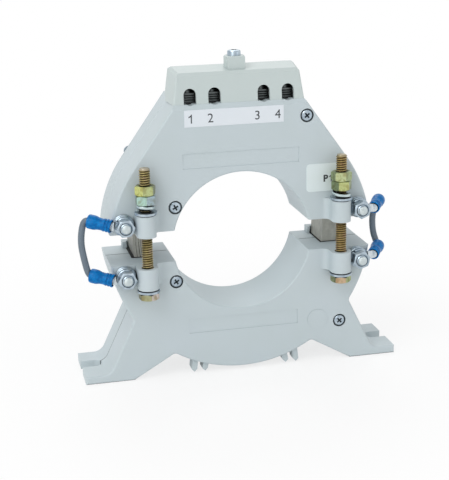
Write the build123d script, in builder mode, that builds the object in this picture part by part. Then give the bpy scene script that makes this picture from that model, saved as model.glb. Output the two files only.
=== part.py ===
from math import asin, atan2, cos, degrees, pi, radians, sin, sqrt, tan
import os

from build123d import *

# Split-core current transformer, in millimetres. The origin is the centre of the round window at
# mid-depth, +X runs to the right of the front face, +Y to the rear and +Z up.

# Housing
window_radius = 51.0
body_radius = 97.0
front_depth = 30.0
rear_depth = 22.0
split_gap = 22.8
shoulder_angle = 35.5
seat_height = 100.5
rear_crest_height = 103.5
face_round = 1.6
window_chamfer = 0.8
parting_chamfer = 0.5
seat_bevel = 3.0

# Feet and legs
foot_bottom = -99.6
foot_thickness = 6.0
foot_tip = 118.3
foot_heel = 82.7
leg_top = (83.0, -57.0)
leg_angle = 64.3
leg_round = 9.0
waist_round = 4.0
arch_angle = 57.6
arch_round = 3.5
slot_width = 12.0
slot_centre_x = 109.0
slot_centre_y = 1.0

# Core and winding
core_inner_radius = 66.0
core_build = 11.5
core_width = 28.0
winding_wall = 3.0
rear_wall = 2.4
inner_fit = 0.3
leg_pocket_fit = 1.3
winding_end_wall = 4.6
lead_diameter = 2.2
lead_duct_fit = 0.4
collar_width = 19.2
collar_height = 4.7
collar_depth = 8.0

# Clamp bosses and bolts
boss_inset = 25.5
boss_stand_off = 9.0
boss_diameters = {1: 14.0, -1: 15.0}
boss_height = 15.6
boss_land = 0.8
boss_land_diameter = 11.5
boss_flare = 4.5
bolt_diameter = 8.0
bolt_hole_diameter = 9.0
bolt_length = 90.0
hex_across_flats = 13.0
rim_bevel_angle = 30.0
bolt_head_height = 5.3
washer_face_height = 0.4
washer_face_diameter = 11.6
bolt_nut_height = 6.8
flat_washer_thickness = 1.6
bolt_washer_diameter = 16.0
spring_washer_thickness = 2.1
spring_washer_diameter = 13.6
spring_washer_slit = 1.6
spring_washer_free_height = 5.4
washer_hole_clearance = 0.4
thread_clearance = 0.1
end_chamfer = 0.9
nut_turn = 22.0
lock_nut_turn = 8.0
bolt_slit_turn = {-1: 144.0, 1: 25.0}

# Jumper studs, lugs and wires
stud_inset = 10.5
stud_z = 19.0
stud_reach = 16.0
stud_embedment = 12.0
stud_washer_diameter = 14.8
stud_nut_height = 6.5
stud_nut_turn = 10.0
stud_slit_turn = 120.0
lug_thickness = 1.8
lug_ring_diameter = 13.0
lug_neck_width = 6.4
lug_barrel_diameter = 6.0
lug_barrel_length = 9.5
sleeve_diameter = 9.2
sleeve_waist_diameter = 8.7
sleeve_bell_diameter = 10.3
sleeve_mouth_diameter = 7.6
sleeve_length = 17.6
sleeve_start = 0.5
wire_diameter = 4.7
wire_fit = 0.15
bell_depth = 4.0
run_share = 0.45
# Barrel start beyond each stud, by side and half: outwards, in front of the lug's plate, upwards
lug_reach = {
    (-1, 1): (8.6, 3.7, 0.7),
    (-1, -1): (8.8, 3.7, -1.1),
    (1, 1): (10.9, 3.4, -0.8),
    (1, -1): (11.0, 3.4, 1.8),
}
lug_heading = {-1: (-0.885, 0.424, 0.193), 1: (0.54, 0.834, 0.12)}
# Corners of each wire's route between its two sleeves, from the upper one down: outwards from
# the stud's axis, then Y and Z
wire_points = {
    -1: (
        (27.6, -23.0, 23.9),
        (30.4, -23.8, 8.5),
        (28.4, -24.1, -5.0),
        (25.9, -24.2, -16.5),
    ),
    1: (
        (22.7, -13.4, 21.0),
        (18.9, -8.2, 11.0),
        (19.7, -8.2, -5.0),
        (22.7, -13.4, -14.4),
    ),
}

# Terminal cover, block and clamps
cover_half_width = 47.4
cover_top_half_width = 44.3
cover_front_inset = 3.2
cover_rear_gap = 0.4
cover_height = 23.0
cover_front_draft = 2.3
cover_rear_draft = 1.2
cover_wall = 2.5
cover_edge = 2.0
cover_flare = 2.0
cover_fall = 7.5
cover_notch = 4.0
cover_corner = 1.2
entry_positions = (-35.4, -17.8, 17.8, 35.4)
entry_width = 9.0
entry_height = 11.0
scoop_depth = 0.8
cover_boss_y = -8.0
cover_boss_diameter = 14.8
cover_boss_height = 8.0
cover_boss_front = 7.4
cover_boss_front_width = 12.6
cover_boss_round = 0.8
cover_pillar_diameter = 10.0
cover_screw_diameter = 5.0
cover_screw_length = 40.0
cover_screw_head_diameter = 9.7
cover_screw_head_height = 3.7
block_half_width = 42.0
block_front_gap = 4.6
block_depth = 15.0
block_height = 16.0
block_recess = 3.0
block_floor = 3.5
bay_width = 9.4
bay_depth = 11.0
terminal_width = 8.8
terminal_depth = 8.5
terminal_height = 6.4
terminal_grooves = 3
groove_depth = 0.7
terminal_screw_diameter = 4.0
terminal_screw_length = 6.0
terminal_screw_head_diameter = 7.0

# Housing screws
screw_diameter = 4.0
screw_length = 36.0
screw_head_diameter = 8.0
screw_head_height = 2.6
counterbore_diameter = 10.0
counterbore_depth = 2.4
screw_fit = 0.15
window_screw_wall = 5.4
window_screw_angles = {"upper": 30.1, "lower": -28.4}
crest_screw_x = 48.5
crest_screw_drop = 12.0
leg_screw_inset = 9.2
leg_screw_drop = 11.7
rim_screw_inset = 3.0
rim_screw_angle = 39.8

# Face details
panel_depth = 0.4
panel_height = 11.0
upper_panel_top = 66.4
upper_panel_half_width = 42.5
lower_panel_top = -56.5
lower_panel_half_width = 41.0
disc_centre = (56.5, -66.0)
disc_radius = 7.7
disc_height = 0.4
tape_centre = (-4.75, 91.2)
tape_size = (71.9, 12.0)
tape_thickness = 0.2
label_centre = (61.0, 42.5)
label_size = (26.0, 20.5)
label_round = 2.5
hook_positions = (-36.5, -28.5, 31.5, 39.5)
hook_width = 4.2
hook_depth = 9.0
hook_inset = 3.0
hook_floor_gap = 0.6

# Levels that follow from the sizes above
core_outer_radius = core_inner_radius + core_build
boss_x = body_radius - boss_inset
stud_x = body_radius - stud_inset
body_depth = front_depth + rear_depth
face_y = -body_depth / 2
back_y = body_depth / 2
parting_y = face_y + front_depth
split_z = split_gap / 2
winding_back_y = back_y - rear_wall - inner_fit
core_back_y = winding_back_y - winding_wall - inner_fit
core_front_y = core_back_y - core_width
winding_front_y = core_front_y - inner_fit - winding_wall
winding_inner_radius = core_inner_radius - inner_fit - winding_wall
winding_outer_radius = core_outer_radius + inner_fit + winding_wall
boss_y = face_y - boss_stand_off
boss_top_z = split_z + boss_height + boss_land
foot_top = foot_bottom + foot_thickness
lug_front_y = face_y - flat_washer_thickness - lug_thickness
lug_middle_y = lug_front_y + lug_thickness / 2
block_front_y = face_y + cover_front_inset + cover_wall + block_front_gap
leg_centre_x = (core_inner_radius + core_outer_radius) / 2
lead_y = winding_front_y + lead_diameter
terminal_screw_y = block_front_y + terminal_depth / 2
cover_front_y = face_y + cover_front_inset
cover_rear_y = parting_y - cover_rear_gap
block_top_z = seat_height - block_recess + block_height
terminal_floor_z = seat_height - block_recess + block_floor
cover_top_z = seat_height + cover_height
over = 1.0


def face_plane(y):
    """Plane parallel to the front face at depth y; extruding from it runs towards the front."""
    return Plane.XZ.offset(-y)


def circle_x(radius, z):
    """Half-width of a circle about the window's axis at height z."""
    return sqrt(radius**2 - z**2)


def near(shapes, x, z, count=1):
    """The shapes whose centres lie nearest to x, z, seen from the front."""
    return shapes.sort_by_distance(Vector(x, 0, z))[:count]


def polar_place(radius, angle):
    """Point x, z at a radius and an angle above the right-hand side."""
    return (radius * cos(radians(angle)), radius * sin(radians(angle)))


def opposite(place):
    """The same place on the other side of the middle."""
    return (-place[0], place[1])


upper_window_screw = polar_place(window_radius + window_screw_wall, window_screw_angles["upper"])
lower_window_screw = polar_place(window_radius + window_screw_wall, window_screw_angles["lower"])
crest_screw = (crest_screw_x, seat_height - crest_screw_drop)
leg_screw = (leg_top[0] - leg_screw_inset, leg_top[1] - leg_screw_drop)
front_screws_upper = (opposite(upper_window_screw), crest_screw)
front_screws_lower = (opposite(lower_window_screw), leg_screw)
rear_screws_upper = (upper_window_screw,)
rear_rim_screw = opposite(polar_place(body_radius - rim_screw_inset, rim_screw_angle))
rear_screws_lower = (lower_window_screw, opposite(leg_screw))


# Outlines of the two halves, drawn for the right side and mirrored

def leg_meets_body():
    """Point where the outer line of the leg, carried on upwards, meets the round body."""
    slope = tan(radians(leg_angle))
    offset = leg_top[1] + slope * leg_top[0]
    nearest = offset / sqrt(1 + slope**2)
    along = sqrt(body_radius**2 - nearest**2)
    turn = radians(90 - leg_angle)
    return (nearest * cos(turn) + along * sin(turn), nearest * sin(turn) - along * cos(turn))


def upper_outline(y, top_z):
    """Round flanks that run on as straight shoulders up to a flat crest at top_z."""
    split_x = circle_x(body_radius, split_z)
    start_angle = degrees(asin(split_z / body_radius))
    turn = radians(shoulder_angle)
    shoulder = (body_radius * cos(turn), body_radius * sin(turn))
    crest = (shoulder[0] - (top_z - shoulder[1]) * tan(turn), top_z)
    with BuildSketch(face_plane(y)) as outline:
        with BuildLine():
            CenterArc((0, 0), body_radius, start_angle, shoulder_angle - start_angle)
            Line(shoulder, crest)
            mirror(about=Plane.YZ)
            Line((-crest[0], top_z), crest)
            Line((-split_x, split_z), (split_x, split_z))
        make_face()
    return outline.sketch


def lower_outline(y):
    """Round belly between two splayed legs, each with a flat foot."""
    split_x = circle_x(body_radius, split_z)
    waist = leg_meets_body()
    instep = (leg_top[0] + (leg_top[1] - foot_top) / tan(radians(leg_angle)), foot_top)
    arch = (body_radius * cos(radians(arch_angle)), -body_radius * sin(radians(arch_angle)))
    waist_angle = degrees(asin(waist[1] / body_radius))
    split_angle = -degrees(asin(split_z / body_radius))
    with BuildSketch(face_plane(y)) as outline:
        with BuildLine():
            CenterArc((0, 0), body_radius, split_angle, waist_angle - split_angle)
            Polyline(waist, instep, (foot_tip, foot_top), (foot_tip, foot_bottom))
            Polyline((foot_tip, foot_bottom), (foot_heel, foot_bottom), arch)
            mirror(about=Plane.YZ)
            CenterArc((0, 0), body_radius, arch_angle - 180, 180 - 2 * arch_angle)
            Line((-split_x, -split_z), (split_x, -split_z))
        make_face()
        for corner, radius in ((waist, waist_round), (instep, leg_round), (arch, arch_round)):
            for side in (-1, 1):
                place = (side * corner[0], corner[1])
                fillet(outline.vertices().sort_by_distance(place)[0], radius)
    return outline.sketch


# Features that both halves share

def off_split(edges):
    """Edges that don't lie in the flat split faces."""
    return edges.filter_by(lambda edge: abs(abs(edge.center().Z) - split_z) > 0.1)


def off_sole(edges):
    """Edges that don't lie in the soles of the feet."""
    return edges.filter_by(lambda edge: edge.center().Z > foot_bottom + over / 2)


def cut_window(y_front, y_rear):
    """Round window, with its edges on the outer faces broken."""
    with BuildSketch(face_plane(y_rear)) as profile:
        Circle(window_radius)
    extrude(profile.sketch, amount=y_rear - y_front, mode=Mode.SUBTRACT)


def ring_piece(y, inner, outer, z_from, z_to):
    """Part of a flat ring about the window's axis, kept between two heights."""
    with BuildSketch(face_plane(y)) as profile:
        Circle(outer)
        Circle(inner, mode=Mode.SUBTRACT)
        with Locations((0, (z_from + z_to) / 2)):
            Rectangle(2 * outer, abs(z_to - z_from), mode=Mode.INTERSECT)
    return profile.sketch


def cut_winding_cavity(half, y_front, y_rear):
    """Ring-shaped cavity for the winding, and the leg pockets that open it at the split face."""
    cavity_start = half * (split_z + winding_end_wall - inner_fit)
    front = max(y_front, winding_front_y - inner_fit)
    rear = min(y_rear, winding_back_y + inner_fit)
    cavity = ring_piece(
        rear,
        winding_inner_radius - inner_fit,
        winding_outer_radius + inner_fit,
        cavity_start,
        half * (winding_outer_radius + inner_fit),
    )
    extrude(cavity, amount=rear - front, mode=Mode.SUBTRACT)
    pocket_front = max(y_front, core_front_y - leg_pocket_fit)
    pocket_rear = min(y_rear, core_back_y + leg_pocket_fit)
    pocket = ring_piece(
        pocket_rear,
        core_inner_radius - leg_pocket_fit,
        core_outer_radius + leg_pocket_fit,
        half * (split_z - collar_height - over),
        cavity_start,
    )
    extrude(pocket, amount=pocket_rear - pocket_front, mode=Mode.SUBTRACT)


def cut_screw_holes(places, entry_y, inward, recess=counterbore_depth):
    """Recess for each screw head, and below it the hole for the shank."""
    seat_y = entry_y + inward * recess
    for x, z in places:
        if recess > 0:
            with BuildSketch(Plane((x, entry_y, z), x_dir=(1, 0, 0), z_dir=(0, inward, 0))) as profile:
                Circle(counterbore_diameter / 2)
            extrude(profile.sketch, amount=recess, mode=Mode.SUBTRACT)
        with BuildSketch(Plane((x, seat_y, z), x_dir=(1, 0, 0), z_dir=(0, inward, 0))) as profile:
            Circle(screw_diameter / 2 + screw_fit)
        extrude(profile.sketch, amount=screw_length + over, mode=Mode.SUBTRACT)


def add_clamp_boss(side, half):
    """Upright boss in front of the face, with a flare on the side towards the window."""
    radius = boss_diameters[half] / 2
    inner = -side
    x = side * boss_x
    neck_inner = x + inner * radius
    neck_outer = x - inner * radius
    flare = (neck_inner + inner * boss_flare, face_y)
    flare_end = (neck_inner, face_y - boss_flare)
    flare_middle = (
        neck_inner + inner * boss_flare * (1 - cos(radians(45))),
        face_y - boss_flare * (1 - sin(radians(45))),
    )
    with BuildSketch(Plane.XY.offset(half * split_z)) as profile:
        with BuildLine():
            ThreePointArc(flare, flare_middle, flare_end)
            Line(flare_end, (neck_inner, boss_y))
            ThreePointArc((neck_inner, boss_y), (x, boss_y - radius), (neck_outer, boss_y))
            Line((neck_outer, boss_y), (neck_outer, face_y + over))
            Line((neck_outer, face_y + over), (flare[0], face_y + over))
            Line((flare[0], face_y + over), flare)
        make_face()
    extrude(profile.sketch, amount=half * boss_height)
    with BuildSketch(Plane.XY.offset(half * (boss_top_z - boss_land))) as land:
        with Locations((x, boss_y)):
            Circle(boss_land_diameter / 2)
    extrude(land.sketch, amount=half * boss_land)
    with BuildSketch(Plane.XY.offset(half * split_z)) as profile:
        with Locations((x, boss_y)):
            Circle(bolt_hole_diameter / 2)
    extrude(profile.sketch, amount=half * (boss_height + boss_land), mode=Mode.SUBTRACT)


def cut_stud_holes(half):
    """Blind hole for the jumper stud beside each clamp boss."""
    for side in (-1, 1):
        with BuildSketch(face_plane(face_y + stud_embedment)) as profile:
            with Locations((side * stud_x, half * stud_z)):
                Circle(bolt_diameter / 2 + thread_clearance)
        extrude(profile.sketch, amount=stud_embedment + over, mode=Mode.SUBTRACT)


def cut_panel(half_width, top_z):
    """Shallow rectangular field in the front face."""
    with BuildSketch(face_plane(face_y + panel_depth)) as profile:
        with Locations((0, top_z - panel_height / 2)):
            Rectangle(2 * half_width, panel_height)
    extrude(profile.sketch, amount=panel_depth, mode=Mode.SUBTRACT)


def cut_foot_slots(y_front, y_rear):
    """Slots through both feet, open at the tips."""
    closed_x = slot_centre_x
    for side in (-1, 1):
        with BuildSketch(Plane.XY.offset(foot_bottom)) as profile:
            with Locations((side * closed_x, slot_centre_y)):
                Circle(slot_width / 2)
            with Locations((side * (closed_x + foot_tip + over) / 2, slot_centre_y)):
                Rectangle(foot_tip + over - closed_x, slot_width)
            with Locations((0, (y_front + y_rear) / 2)):
                Rectangle(4 * foot_tip, y_rear - y_front, mode=Mode.INTERSECT)
        extrude(profile.sketch, amount=foot_thickness + over, mode=Mode.SUBTRACT)


# Upper front shell: carries the terminals, the clamp bosses and the upper studs

with BuildPart() as upper_front_shell:
    extrude(upper_outline(parting_y, seat_height), amount=front_depth)
    face_edges = upper_front_shell.edges().group_by(Axis.Y)[0]
    chamfer(face_edges.sort_by(Axis.Z)[-1], seat_bevel)
    flank_edges = off_split(upper_front_shell.edges().group_by(Axis.Y)[0])
    fillet([edge for edge in flank_edges if abs(edge.center().X) > over], face_round)
    parting_edges = upper_front_shell.edges().group_by(Axis.Y)[-1].sort_by(Axis.Z)[:-1]
    chamfer(parting_edges, parting_chamfer)
    cut_window(face_y, parting_y)
    window_edges = upper_front_shell.edges().group_by(Axis.Y)[0]
    chamfer(near(window_edges, 0, window_radius), window_chamfer)
    for side in (-1, 1):
        add_clamp_boss(side, 1)
    cut_winding_cavity(1, face_y, parting_y)
    cut_stud_holes(1)
    cut_screw_holes(front_screws_upper, face_y, 1)
    cut_screw_holes(rear_screws_upper, back_y, -1)
    cut_screw_holes((rear_rim_screw,), back_y, -1, recess=0)
    cut_panel(upper_panel_half_width, upper_panel_top)
    # Trough for the terminal block, ducts for the leads and the guide below each cable entry
    with BuildSketch(Plane.XY.offset(seat_height)):
        with Locations((0, block_front_y + block_depth / 2)):
            Rectangle(2 * (block_half_width + inner_fit), block_depth + 2 * inner_fit)
    extrude(amount=-block_recess, mode=Mode.SUBTRACT)
    for x in entry_positions:
        with BuildSketch(Plane.XY.offset(seat_height - block_recess)):
            with Locations((x, lead_y)):
                Circle((lead_diameter + lead_duct_fit) / 2)
        extrude(amount=-(seat_height - block_recess - core_inner_radius), mode=Mode.SUBTRACT)
        with BuildSketch(face_plane(block_front_y)):
            with Locations((x, seat_height - scoop_depth + entry_width / 2)):
                Circle(entry_width / 2)
        extrude(amount=block_front_y - face_y, mode=Mode.SUBTRACT)
    with BuildSketch(Plane.XY.offset(seat_height)):
        with Locations((0, cover_boss_y)):
            Circle(cover_screw_diameter / 2 + screw_fit)
    extrude(amount=-(cover_screw_length + over - cover_height - cover_boss_height), mode=Mode.SUBTRACT)

# Upper rear shell: stands a little higher behind the terminal cover

with BuildPart() as upper_rear_shell:
    extrude(upper_outline(back_y, rear_crest_height), amount=rear_depth)
    parting_edges = upper_rear_shell.edges().group_by(Axis.Y)[0]
    chamfer(parting_edges, parting_chamfer)
    back_edges = off_split(upper_rear_shell.edges().group_by(Axis.Y)[-1])
    fillet(back_edges, face_round)
    cut_window(parting_y, back_y)
    window_edges = upper_rear_shell.edges().group_by(Axis.Y)[-1]
    chamfer(near(window_edges, 0, window_radius), window_chamfer)
    cut_winding_cavity(1, parting_y, back_y)
    cut_screw_holes(front_screws_upper, face_y, 1)
    cut_screw_holes(rear_screws_upper, back_y, -1)
    cut_screw_holes((rear_rim_screw,), back_y, -1, recess=0)

# Lower front shell: stands on the feet, with snap hooks below the belly

with BuildPart() as lower_front_shell:
    extrude(lower_outline(parting_y), amount=front_depth)
    fillet(off_split(lower_front_shell.edges().group_by(Axis.Y)[0]), face_round)
    parting_edges = lower_front_shell.edges().group_by(Axis.Y)[-1]
    chamfer(off_sole(parting_edges), parting_chamfer)
    cut_window(face_y, parting_y)
    window_edges = lower_front_shell.edges().group_by(Axis.Y)[0]
    chamfer(near(window_edges, 0, -window_radius), window_chamfer)
    for side in (-1, 1):
        add_clamp_boss(side, -1)
    cut_winding_cavity(-1, face_y, parting_y)
    cut_stud_holes(-1)
    cut_screw_holes(front_screws_lower, face_y, 1)
    cut_screw_holes(rear_screws_lower, back_y, -1)
    cut_panel(lower_panel_half_width, lower_panel_top)
    cut_foot_slots(face_y, parting_y)
    with BuildSketch(face_plane(face_y)):
        with Locations(disc_centre):
            Circle(disc_radius)
    extrude(amount=disc_height)
    # Snap hooks: short barbs under the belly, leaning outwards
    for x in hook_positions:
        lean = 1 if x > 0 else -1
        tip_z = foot_bottom + hook_floor_gap
        root_z = -circle_x(body_radius, x) + over
        with BuildSketch(face_plane(face_y + hook_inset + hook_depth)):
            with BuildLine():
                Polyline(
                    (x - hook_width / 2, root_z),
                    (x + hook_width / 2, root_z),
                    (x + hook_width / 2 + lean * over, tip_z + hook_width / 2),
                    (x + lean * over, tip_z),
                    (x - hook_width / 2 + lean * over, tip_z + hook_width / 2),
                    close=True,
                )
            make_face()
        extrude(amount=hook_depth)

# Lower rear shell: collars behind the core legs stand up above the split face

with BuildPart() as lower_rear_shell:
    extrude(lower_outline(back_y), amount=rear_depth)
    parting_edges = lower_rear_shell.edges().group_by(Axis.Y)[0]
    chamfer(off_sole(parting_edges), parting_chamfer)
    fillet(off_split(lower_rear_shell.edges().group_by(Axis.Y)[-1]), face_round)
    cut_window(parting_y, back_y)
    window_edges = lower_rear_shell.edges().group_by(Axis.Y)[-1]
    chamfer(near(window_edges, 0, -window_radius), window_chamfer)
    for side in (-1, 1):
        with BuildSketch(Plane.XY.offset(-split_z - over)):
            with Locations((side * leg_centre_x, back_y - collar_depth / 2)):
                Rectangle(collar_width, collar_depth)
        extrude(amount=collar_height + over)
    cut_winding_cavity(-1, parting_y, back_y)
    cut_screw_holes(front_screws_lower, face_y, 1)
    cut_screw_holes(rear_screws_lower, back_y, -1)
    cut_foot_slots(parting_y, back_y)

# Core halves: wound strip rings, cut through, whose pole faces meet in the gap

with BuildPart() as upper_core:
    half_ring = ring_piece(core_back_y, core_inner_radius, core_outer_radius, 0, core_outer_radius)
    extrude(half_ring, amount=core_width)

with BuildPart() as lower_core:
    half_ring = ring_piece(core_back_y, core_inner_radius, core_outer_radius, 0, -core_outer_radius)
    extrude(half_ring, amount=core_width)


# Winding halves: wire and tape wound round each core half between its legs

def build_winding(half):
    """Thick-walled half ring with the core's passage through it."""
    end_z = half * (split_z + winding_end_wall)
    crown_z = half * winding_outer_radius
    extrude(
        ring_piece(winding_back_y, winding_inner_radius, winding_outer_radius, end_z, crown_z),
        amount=winding_back_y - winding_front_y,
    )
    extrude(
        ring_piece(
            core_back_y + inner_fit,
            core_inner_radius - inner_fit,
            core_outer_radius + inner_fit,
            end_z,
            crown_z,
        ),
        amount=core_width + 2 * inner_fit,
        mode=Mode.SUBTRACT,
    )


with BuildPart() as upper_winding:
    build_winding(1)

with BuildPart() as lower_winding:
    build_winding(-1)

with BuildPart() as winding_leads:
    for x in entry_positions:
        start_z = circle_x(winding_outer_radius, abs(x) - lead_diameter / 2) + inner_fit
        with BuildSketch(Plane.XY.offset(start_z)):
            with Locations((x, lead_y)):
                Circle(lead_diameter / 2)
        extrude(amount=terminal_floor_z - start_z)

# Terminal block: open bays under the cover, one behind each cable entry

with BuildPart() as terminal_block:
    with BuildSketch(Plane.XY.offset(seat_height - block_recess)):
        with Locations((0, block_front_y + block_depth / 2)):
            Rectangle(2 * block_half_width, block_depth)
    extrude(amount=block_height)
    for x in entry_positions:
        with BuildSketch(Plane.XY.offset(terminal_floor_z)):
            with Locations((x, block_front_y + bay_depth / 2)):
                Rectangle(bay_width, bay_depth)
        extrude(amount=block_height, mode=Mode.SUBTRACT)
        with BuildSketch(Plane.XY.offset(terminal_floor_z)):
            with Locations((x, lead_y)):
                Circle((lead_diameter + lead_duct_fit) / 2)
        extrude(amount=-block_floor, mode=Mode.SUBTRACT)
    with BuildSketch(Plane.XY.offset(seat_height - block_recess)):
        with Locations((0, cover_boss_y)):
            Circle(cover_screw_diameter / 2 + lead_duct_fit)
    extrude(amount=block_height, mode=Mode.SUBTRACT)


# Screws with a cross recess

def add_screw(seat, diameter, length, head_diameter, head_height):
    """Machine screw whose head stands on the seat plane's outer side; the shank runs inwards."""
    recess_depth = 0.55 * head_height
    recess_width = 0.13 * head_diameter
    with BuildSketch(seat) as shank:
        Circle(diameter / 2)
    extrude(shank.sketch, amount=-length)
    with BuildSketch(seat) as head:
        Circle(head_diameter / 2)
    crown = extrude(head.sketch, amount=head_height)
    rim = crown.edges().sort_by(Axis(seat.origin, seat.z_dir))[-1]
    fillet(rim, 0.35 * head_height)
    with BuildSketch(seat.offset(head_height)) as recess:
        Rectangle(0.56 * head_diameter, recess_width)
        Rectangle(recess_width, 0.56 * head_diameter)
    extrude(recess.sketch, amount=-recess_depth, mode=Mode.SUBTRACT)


terminals = []
for number, x in enumerate(entry_positions, start=1):
    with BuildPart() as terminal_clamp:
        with BuildSketch(Plane.XY.offset(terminal_floor_z)):
            with Locations((x, block_front_y + terminal_depth / 2)):
                Rectangle(terminal_width, terminal_depth)
        extrude(amount=terminal_height)
        for groove in range(terminal_grooves):
            groove_z = terminal_floor_z + (groove + 1) * terminal_height / (terminal_grooves + 1)
            with BuildSketch(Plane.YZ.offset(x - terminal_width / 2)):
                with Locations((block_front_y, groove_z)):
                    Rectangle(groove_depth, groove_depth, rotation=45)
            extrude(amount=terminal_width, mode=Mode.SUBTRACT)
        with BuildSketch(Plane.XY.offset(terminal_floor_z + terminal_height)):
            with Locations((x, terminal_screw_y)):
                Circle(terminal_screw_diameter / 2 + screw_fit)
        extrude(amount=-terminal_screw_length, mode=Mode.SUBTRACT)
    terminal_clamp.part.label = f"terminal_clamp_{number}"
    terminals.append(terminal_clamp.part)

    with BuildPart() as terminal_screw:
        add_screw(
            Plane((x, terminal_screw_y, terminal_floor_z + terminal_height)),
            terminal_screw_diameter,
            terminal_screw_length,
            terminal_screw_head_diameter,
            screw_head_height,
        )
    terminal_screw.part.label = f"terminal_screw_{number}"
    terminals.append(terminal_screw.part)


# Terminal cover: drafted hood on the front shell's seat, with a boss for its one screw

def cover_block(wall):
    """Drafted block of the cover's outside, or of its inside when a wall is given.

    It widens a little towards the rear, and its top falls towards the front.
    """
    loft_levels = (
        (seat_height, 0, cover_half_width, 0, 0),
        (cover_top_z - wall, cover_fall, cover_top_half_width, cover_front_draft, cover_rear_draft),
    )
    with BuildPart() as block:
        for z, fall, half_width, front_draft, rear_draft in loft_levels:
            front = cover_front_y + front_draft + wall - cover_boss_y
            rear = cover_rear_y - rear_draft - wall - cover_boss_y
            front_half = half_width - wall
            rear_half = front_half + cover_flare
            upward = (0, -sin(radians(fall)), cos(radians(fall)))
            with BuildSketch(Plane((0, cover_boss_y, z), x_dir=(1, 0, 0), z_dir=upward)):
                with BuildLine():
                    Polyline(
                        (-front_half, front),
                        (front_half, front),
                        (rear_half, rear),
                        (-rear_half, rear),
                        close=True,
                    )
                make_face()
        loft()
    return block.part


cover_outside = cover_block(0)
cover_inside = cover_block(cover_wall)

with BuildPart() as terminal_cover:
    add(cover_outside)
    chamfer(terminal_cover.faces().sort_by(Axis.Z)[-1].edges(), cover_edge)
    upright_edges = terminal_cover.edges().filter_by(lambda edge: abs((edge % 0.5).Z) > 0.9)
    fillet(upright_edges, cover_corner)
    with BuildSketch(Plane.XY.offset(cover_top_z - 2 * cover_wall)):
        with Locations((0, cover_boss_y)):
            Circle(cover_boss_diameter / 2)
        with Locations((0, cover_boss_y - cover_boss_front / 2)):
            Rectangle(cover_boss_front_width, cover_boss_front)
    extrude(amount=2 * cover_wall + cover_boss_height)
    boss_rim = terminal_cover.edges().group_by(Axis.Z)[-1]
    fillet(boss_rim, cover_boss_round)
    add(cover_inside, mode=Mode.SUBTRACT)
    with BuildSketch(Plane.XY.offset(block_top_z + inner_fit)):
        with Locations((0, cover_boss_y)):
            Circle(cover_pillar_diameter / 2)
    extrude(amount=cover_top_z - block_top_z - inner_fit)
    with BuildSketch(Plane.XY.offset(block_top_z)):
        with Locations((0, cover_boss_y)):
            Circle(cover_screw_diameter / 2 + screw_fit)
    extrude(amount=cover_top_z + cover_boss_height - block_top_z, mode=Mode.SUBTRACT)
    with BuildSketch(face_plane(cover_front_y + cover_front_draft + cover_wall + over)):
        with Locations(*[(x, seat_height) for x in entry_positions]):
            Rectangle(entry_width, entry_height - entry_width / 2, align=(Align.CENTER, Align.MIN))
        with Locations(*[(x, seat_height + entry_height - entry_width / 2) for x in entry_positions]):
            Circle(entry_width / 2)
    extrude(amount=cover_front_draft + cover_wall + 2 * over, mode=Mode.SUBTRACT)
    # Notches at the rear corners, where the side walls hang over the shoulders
    with BuildSketch(Plane.XY.offset(seat_height)):
        with Locations((0, cover_rear_y - cover_notch / 2)):
            Rectangle(2 * cover_half_width + 2 * cover_notch, cover_notch)
        with Locations((0, cover_rear_y - cover_notch / 2)):
            Rectangle(2 * (cover_half_width - cover_notch), cover_notch, mode=Mode.SUBTRACT)
    extrude(amount=cover_notch, mode=Mode.SUBTRACT)

with BuildPart() as cover_screw:
    add_screw(
        Plane((0, cover_boss_y, cover_top_z + cover_boss_height)),
        cover_screw_diameter,
        cover_screw_length,
        cover_screw_head_diameter,
        cover_screw_head_height,
    )

# Number tape below the cable entries and plain side label, both stuck to the face

with BuildPart() as number_tape:
    with BuildSketch(face_plane(face_y)):
        with Locations(tape_centre):
            Rectangle(*tape_size)
    extrude(amount=tape_thickness)

with BuildPart() as side_label:
    with BuildSketch(face_plane(face_y)):
        with Locations(label_centre):
            RectangleRounded(*label_size, label_round)
    extrude(amount=tape_thickness)

# Screws that hold the shells together, from the front and from the rear

with BuildPart() as front_shell_screws:
    for x, z in front_screws_upper + front_screws_lower:
        seat = Plane((x, face_y + counterbore_depth, z), x_dir=(1, 0, 0), z_dir=(0, -1, 0))
        add_screw(seat, screw_diameter, screw_length, screw_head_diameter, screw_head_height)

with BuildPart() as rear_shell_screws:
    rear_seats = [(x, back_y - counterbore_depth, z) for x, z in rear_screws_upper + rear_screws_lower]
    rear_seats.append((rear_rim_screw[0], back_y, rear_rim_screw[1]))
    for place in rear_seats:
        seat = Plane(place, x_dir=(-1, 0, 0), z_dir=(0, 1, 0))
        add_screw(seat, screw_diameter, screw_length, screw_head_diameter, screw_head_height)


# Threaded fasteners, each drawn on its own axis plane

def add_washer(plane, outer_diameter, hole_diameter, thickness):
    """Flat ring that stands on the plane."""
    with BuildSketch(plane) as ring:
        Circle(outer_diameter / 2)
        Circle(hole_diameter / 2, mode=Mode.SUBTRACT)
    extrude(ring.sketch, amount=thickness)


def add_open_spring_washer(plane, turn):
    """Spring ring still open: one turn that rises from its low end at the slit to its high end."""
    rise = spring_washer_free_height - spring_washer_thickness
    inner_radius = (bolt_diameter + washer_hole_clearance) / 2
    middle_radius = (inner_radius + spring_washer_diameter / 2) / 2
    ring_plane = plane.offset(spring_washer_thickness / 2).rotated((0, 0, turn))
    with BuildLine(ring_plane) as path:
        turn_line = Helix(pitch=rise, height=rise, radius=middle_radius, lefthand=True)
    section_plane = Plane(turn_line @ 0, x_dir=ring_plane.x_dir, z_dir=turn_line % 0)
    with BuildSketch(section_plane) as section:
        Rectangle(2 * (middle_radius - inner_radius), spring_washer_thickness - thread_clearance)
    sweep(section.sketch, path=path.line, is_frenet=True)


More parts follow.
